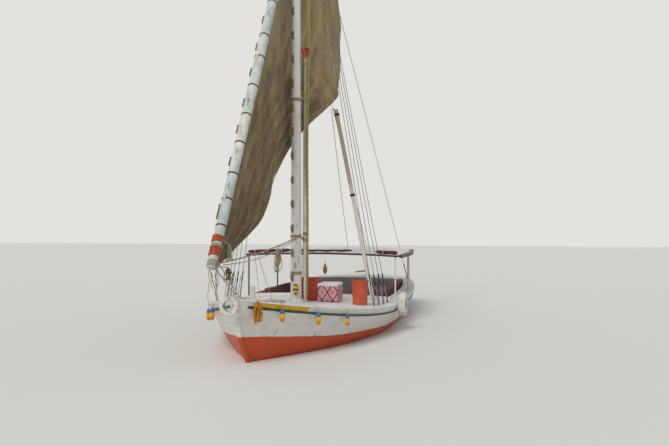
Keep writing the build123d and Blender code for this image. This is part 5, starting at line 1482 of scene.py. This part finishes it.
# %% Coil on the foredeck
COIL_AT, COIL_LINE = (4.25, -0.56), 0.0125
COIL_TURNS, COIL_LAYERS = 5, 3
coil_points = []
low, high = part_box("rope_coil")
for layer in range(COIL_LAYERS):
    for share in np.linspace(0, 1, 12 * COIL_TURNS + 1):
        reach = 0.110 + 0.108 * (share if layer % 2 == 0 else 1 - share)
        turn = 2 * math.pi * COIL_TURNS * (layer + share)
        x, y = COIL_AT[0] + reach * math.cos(turn), COIL_AT[1] + reach * math.sin(turn)
        z = low.z + COIL_LINE + 0.001 + layer * 2.05 * COIL_LINE + 0.0015 * math.sin(3.1 * turn)
        coil_points.append((x, y, z))
coil, coil_path = rope("mooring_coil", coil_points, COIL_LINE * 0.92, pale_rope, "hull", spacing=0.018)
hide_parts("rope_coil")
free_cord(coil, coil_path)

# %% [markdown]
# A hank of orange-yellow rope hangs over the port rail near the bow, and a grey one hangs from
# the line between the mast and the yard's foot. A hank is one rope wound in long loops: each
# turn is a tall oval, no two alike, and the last turn crosses over the top to hold the rest.

# %% Rope hanks


def hank_points(top, tall, wide, deep, way, turns, seed):
    """Control points of a rope wound in tall loops that hang from top."""
    rng = np.random.default_rng(seed)
    along = np.array(way) / np.linalg.norm(way)
    across = np.cross(along, (0, 0, 1))
    points = []
    for turn in range(turns):
        reach = wide / 2 * (0.12 + 0.88 * ((turn * 0.382) % 1))
        length = tall * rng.uniform(0.72, 1.0)
        depth = deep * ((turn + 0.5) / turns - 0.5)
        lean = rng.uniform(-0.5, 0.5) * wide / 2
        for angle in np.arange(0, 2 * math.pi, 2 * math.pi / 12):
            low_share = (1 - math.cos(angle)) / 2
            swing = math.sin(angle) * reach * (0.35 + 0.65 * low_share) + lean * low_share
            side = across * (depth + 0.004 * math.sin(3 * angle + turn))
            points.append(np.array(top) + along * swing + side - (0, 0, length * low_share))
    end = np.array(top)
    points += [end + along * wide * 0.3 - (0, 0, 0.10) + across * deep * 0.6,
               end - along * wide * 0.35 - (0, 0, 0.16) + across * deep * 0.62,
               end - along * wide * 0.30 - (0, 0, 0.34) + across * deep * 0.55]
    return points


low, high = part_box("rope_hank")
middle = (low + high) / 2
hank_way = np.array((0.2, rail_y(middle.x + 0.1) - rail_y(middle.x - 0.1), 0))
hank_top = (middle.x, middle.y, high.z - 0.012)
hank, hank_path = rope("bow_rope_hank", hank_points(hank_top, 0.45, 0.24, -0.06, hank_way, 10, 5),
                       0.0105, gold_rope, "hull", spacing=0.02)
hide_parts("rope_hank")
free_cord(hank, hank_path)

# %% [markdown]
# The tail of a warp lies in a loose pile before the mast. Its loops are drawn at random in an
# oval, and each later one lies a little higher, so the pile is highest in its middle.

# %% Slack warp on the foredeck
SLACK_R = 0.012
BENDS = 46
slack_rng = np.random.default_rng(12)
slack_points = []
for j in range(BENDS):
    turn = 0.9 * j + slack_rng.uniform(-0.35, 0.35)
    reach = slack_rng.uniform(0.35, 1.0)
    x, y = 3.62 + 0.62 * reach * math.cos(turn), -0.22 + 0.42 * reach * math.sin(turn)
    pile = 0.10 * j / (BENDS - 1) * (1.1 - reach) + 0.03 * (j % 3 == 0)
    slack_points.append((x, y, deck_z(x, y) + SLACK_R + 0.002 + max(0.0, pile)))
slack_line = nurbs_path(slack_points, 0.03)
slack_points = [(x, y, max(z, deck_z(x, y) + SLACK_R + 0.001)) for x, y, z in slack_line[::2]]
slack, slack_path = rope("slack_warp", slack_points, SLACK_R, pale_rope, "hull", spacing=0.02)
free_cord(slack, slack_path)

# %% [markdown]
# Ends of rope hang from the yard's foot. Each hangs straight down from where it is tied, with a
# few kinks that it keeps from having been coiled. Three more hanks hang there and below the line
# to the mast, each with a short lead to its knot.

# %% Hanging ends


def hanging_end(name, start, drop, radius, finish, seed, kink=0.03):
    """A short free end of rope that hangs from start, with its length printed."""
    rng = np.random.default_rng(seed)
    count = max(5, int(drop / 0.07))
    points = [np.array(start, float)]
    for j in range(1, count + 1):
        sway = rng.uniform(-kink, kink, 2) * min(1, j / 2)
        points.append(np.array(start) + (sway[0], sway[1], -drop * j / count))
    piece, path = rope(name, points, radius, finish, "lateen", spacing=0.015)
    free_cord(piece, path)


# Columns: distance up the yard, how far to port, drop, radius, finish
ENDS = [(0.05, -0.07, 0.62, 0.010, pale_rope), (0.10, 0.06, 0.40, 0.008, hemp),
        (0.16, 0.09, 0.55, 0.011, pale_rope), (0.02, 0.00, 0.30, 0.009, hemp),
        (0.22, 0.05, 0.70, 0.008, tarred_rope)]
for number, (distance, aside, drop, radius, finish) in enumerate(ENDS):
    start = yard_point(distance) + (0, aside, -0.10)
    hanging_end(f"heel_rope_end_{number + 1}", start, drop, radius, finish, 60 + number)

heel_at = [(yard_point(d), YARD_WAY, yard_r(d) + 0.008) for d in (0.03, 0.10, 0.43)]
lashings("heel_lashing", hemp, heel_at, 0.009, 3, 0.018, "lateen")

HANK_WAY = (0.25, -0.97, 0)
bunch_at = np.array((3.55, -0.06, 2.235))
lead = straight(off_mast(0.03, 2.44), bunch_at + (0, 0, 0.02), 0.03, 6)
loops = hank_points(bunch_at, 0.60, 0.20, 0.09, HANK_WAY, 7, 9)
bunch, bunch_path = rope("grey_rope_hank", lead + loops, 0.010, hemp, "hull", spacing=0.02)
free_cord(bunch, bunch_path)

# The brail's pale end below the gathered cloth, and a dark hank lower down
# Columns: name, where the lead is tied, top of the loops, how tall they are, finish, seed
HANK_LINE = 0.009
HANKS = [("brail_end_hank", yard_point(0.62) + (-0.11, 0.03, -0.06), (6.22, -0.10, 2.40),
          0.36, pale_rope, 21),
         ("dark_heel_hank", yard_point(0.08) + (-0.09, 0.03, -0.05), (6.42, -0.02, 1.96),
          0.27, tarred_rope, 22)]
for name, start, top, tall, finish, seed in HANKS:
    lead = straight(start, np.array(top) + (0, 0, 0.01), 0.01, 4)
    loops = hank_points(top, tall, 0.17, 0.08, HANK_WAY, 6, seed)
    piece, path = rope(name, lead + loops, HANK_LINE, finish, "lateen", spacing=0.016)
    free_cord(piece, path)

# %% [markdown] Last, the box of everything is measured and printed, to stand beside that of
# the solids alone, printed at the start.

# %% Measure the box and finish
final_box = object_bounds()
[[list(map(float, corner)) for corner in box] for box in (cad_box, final_box)]
print("box with the visual pieces", [[round(v, 3) for v in corner] for corner in final_box])
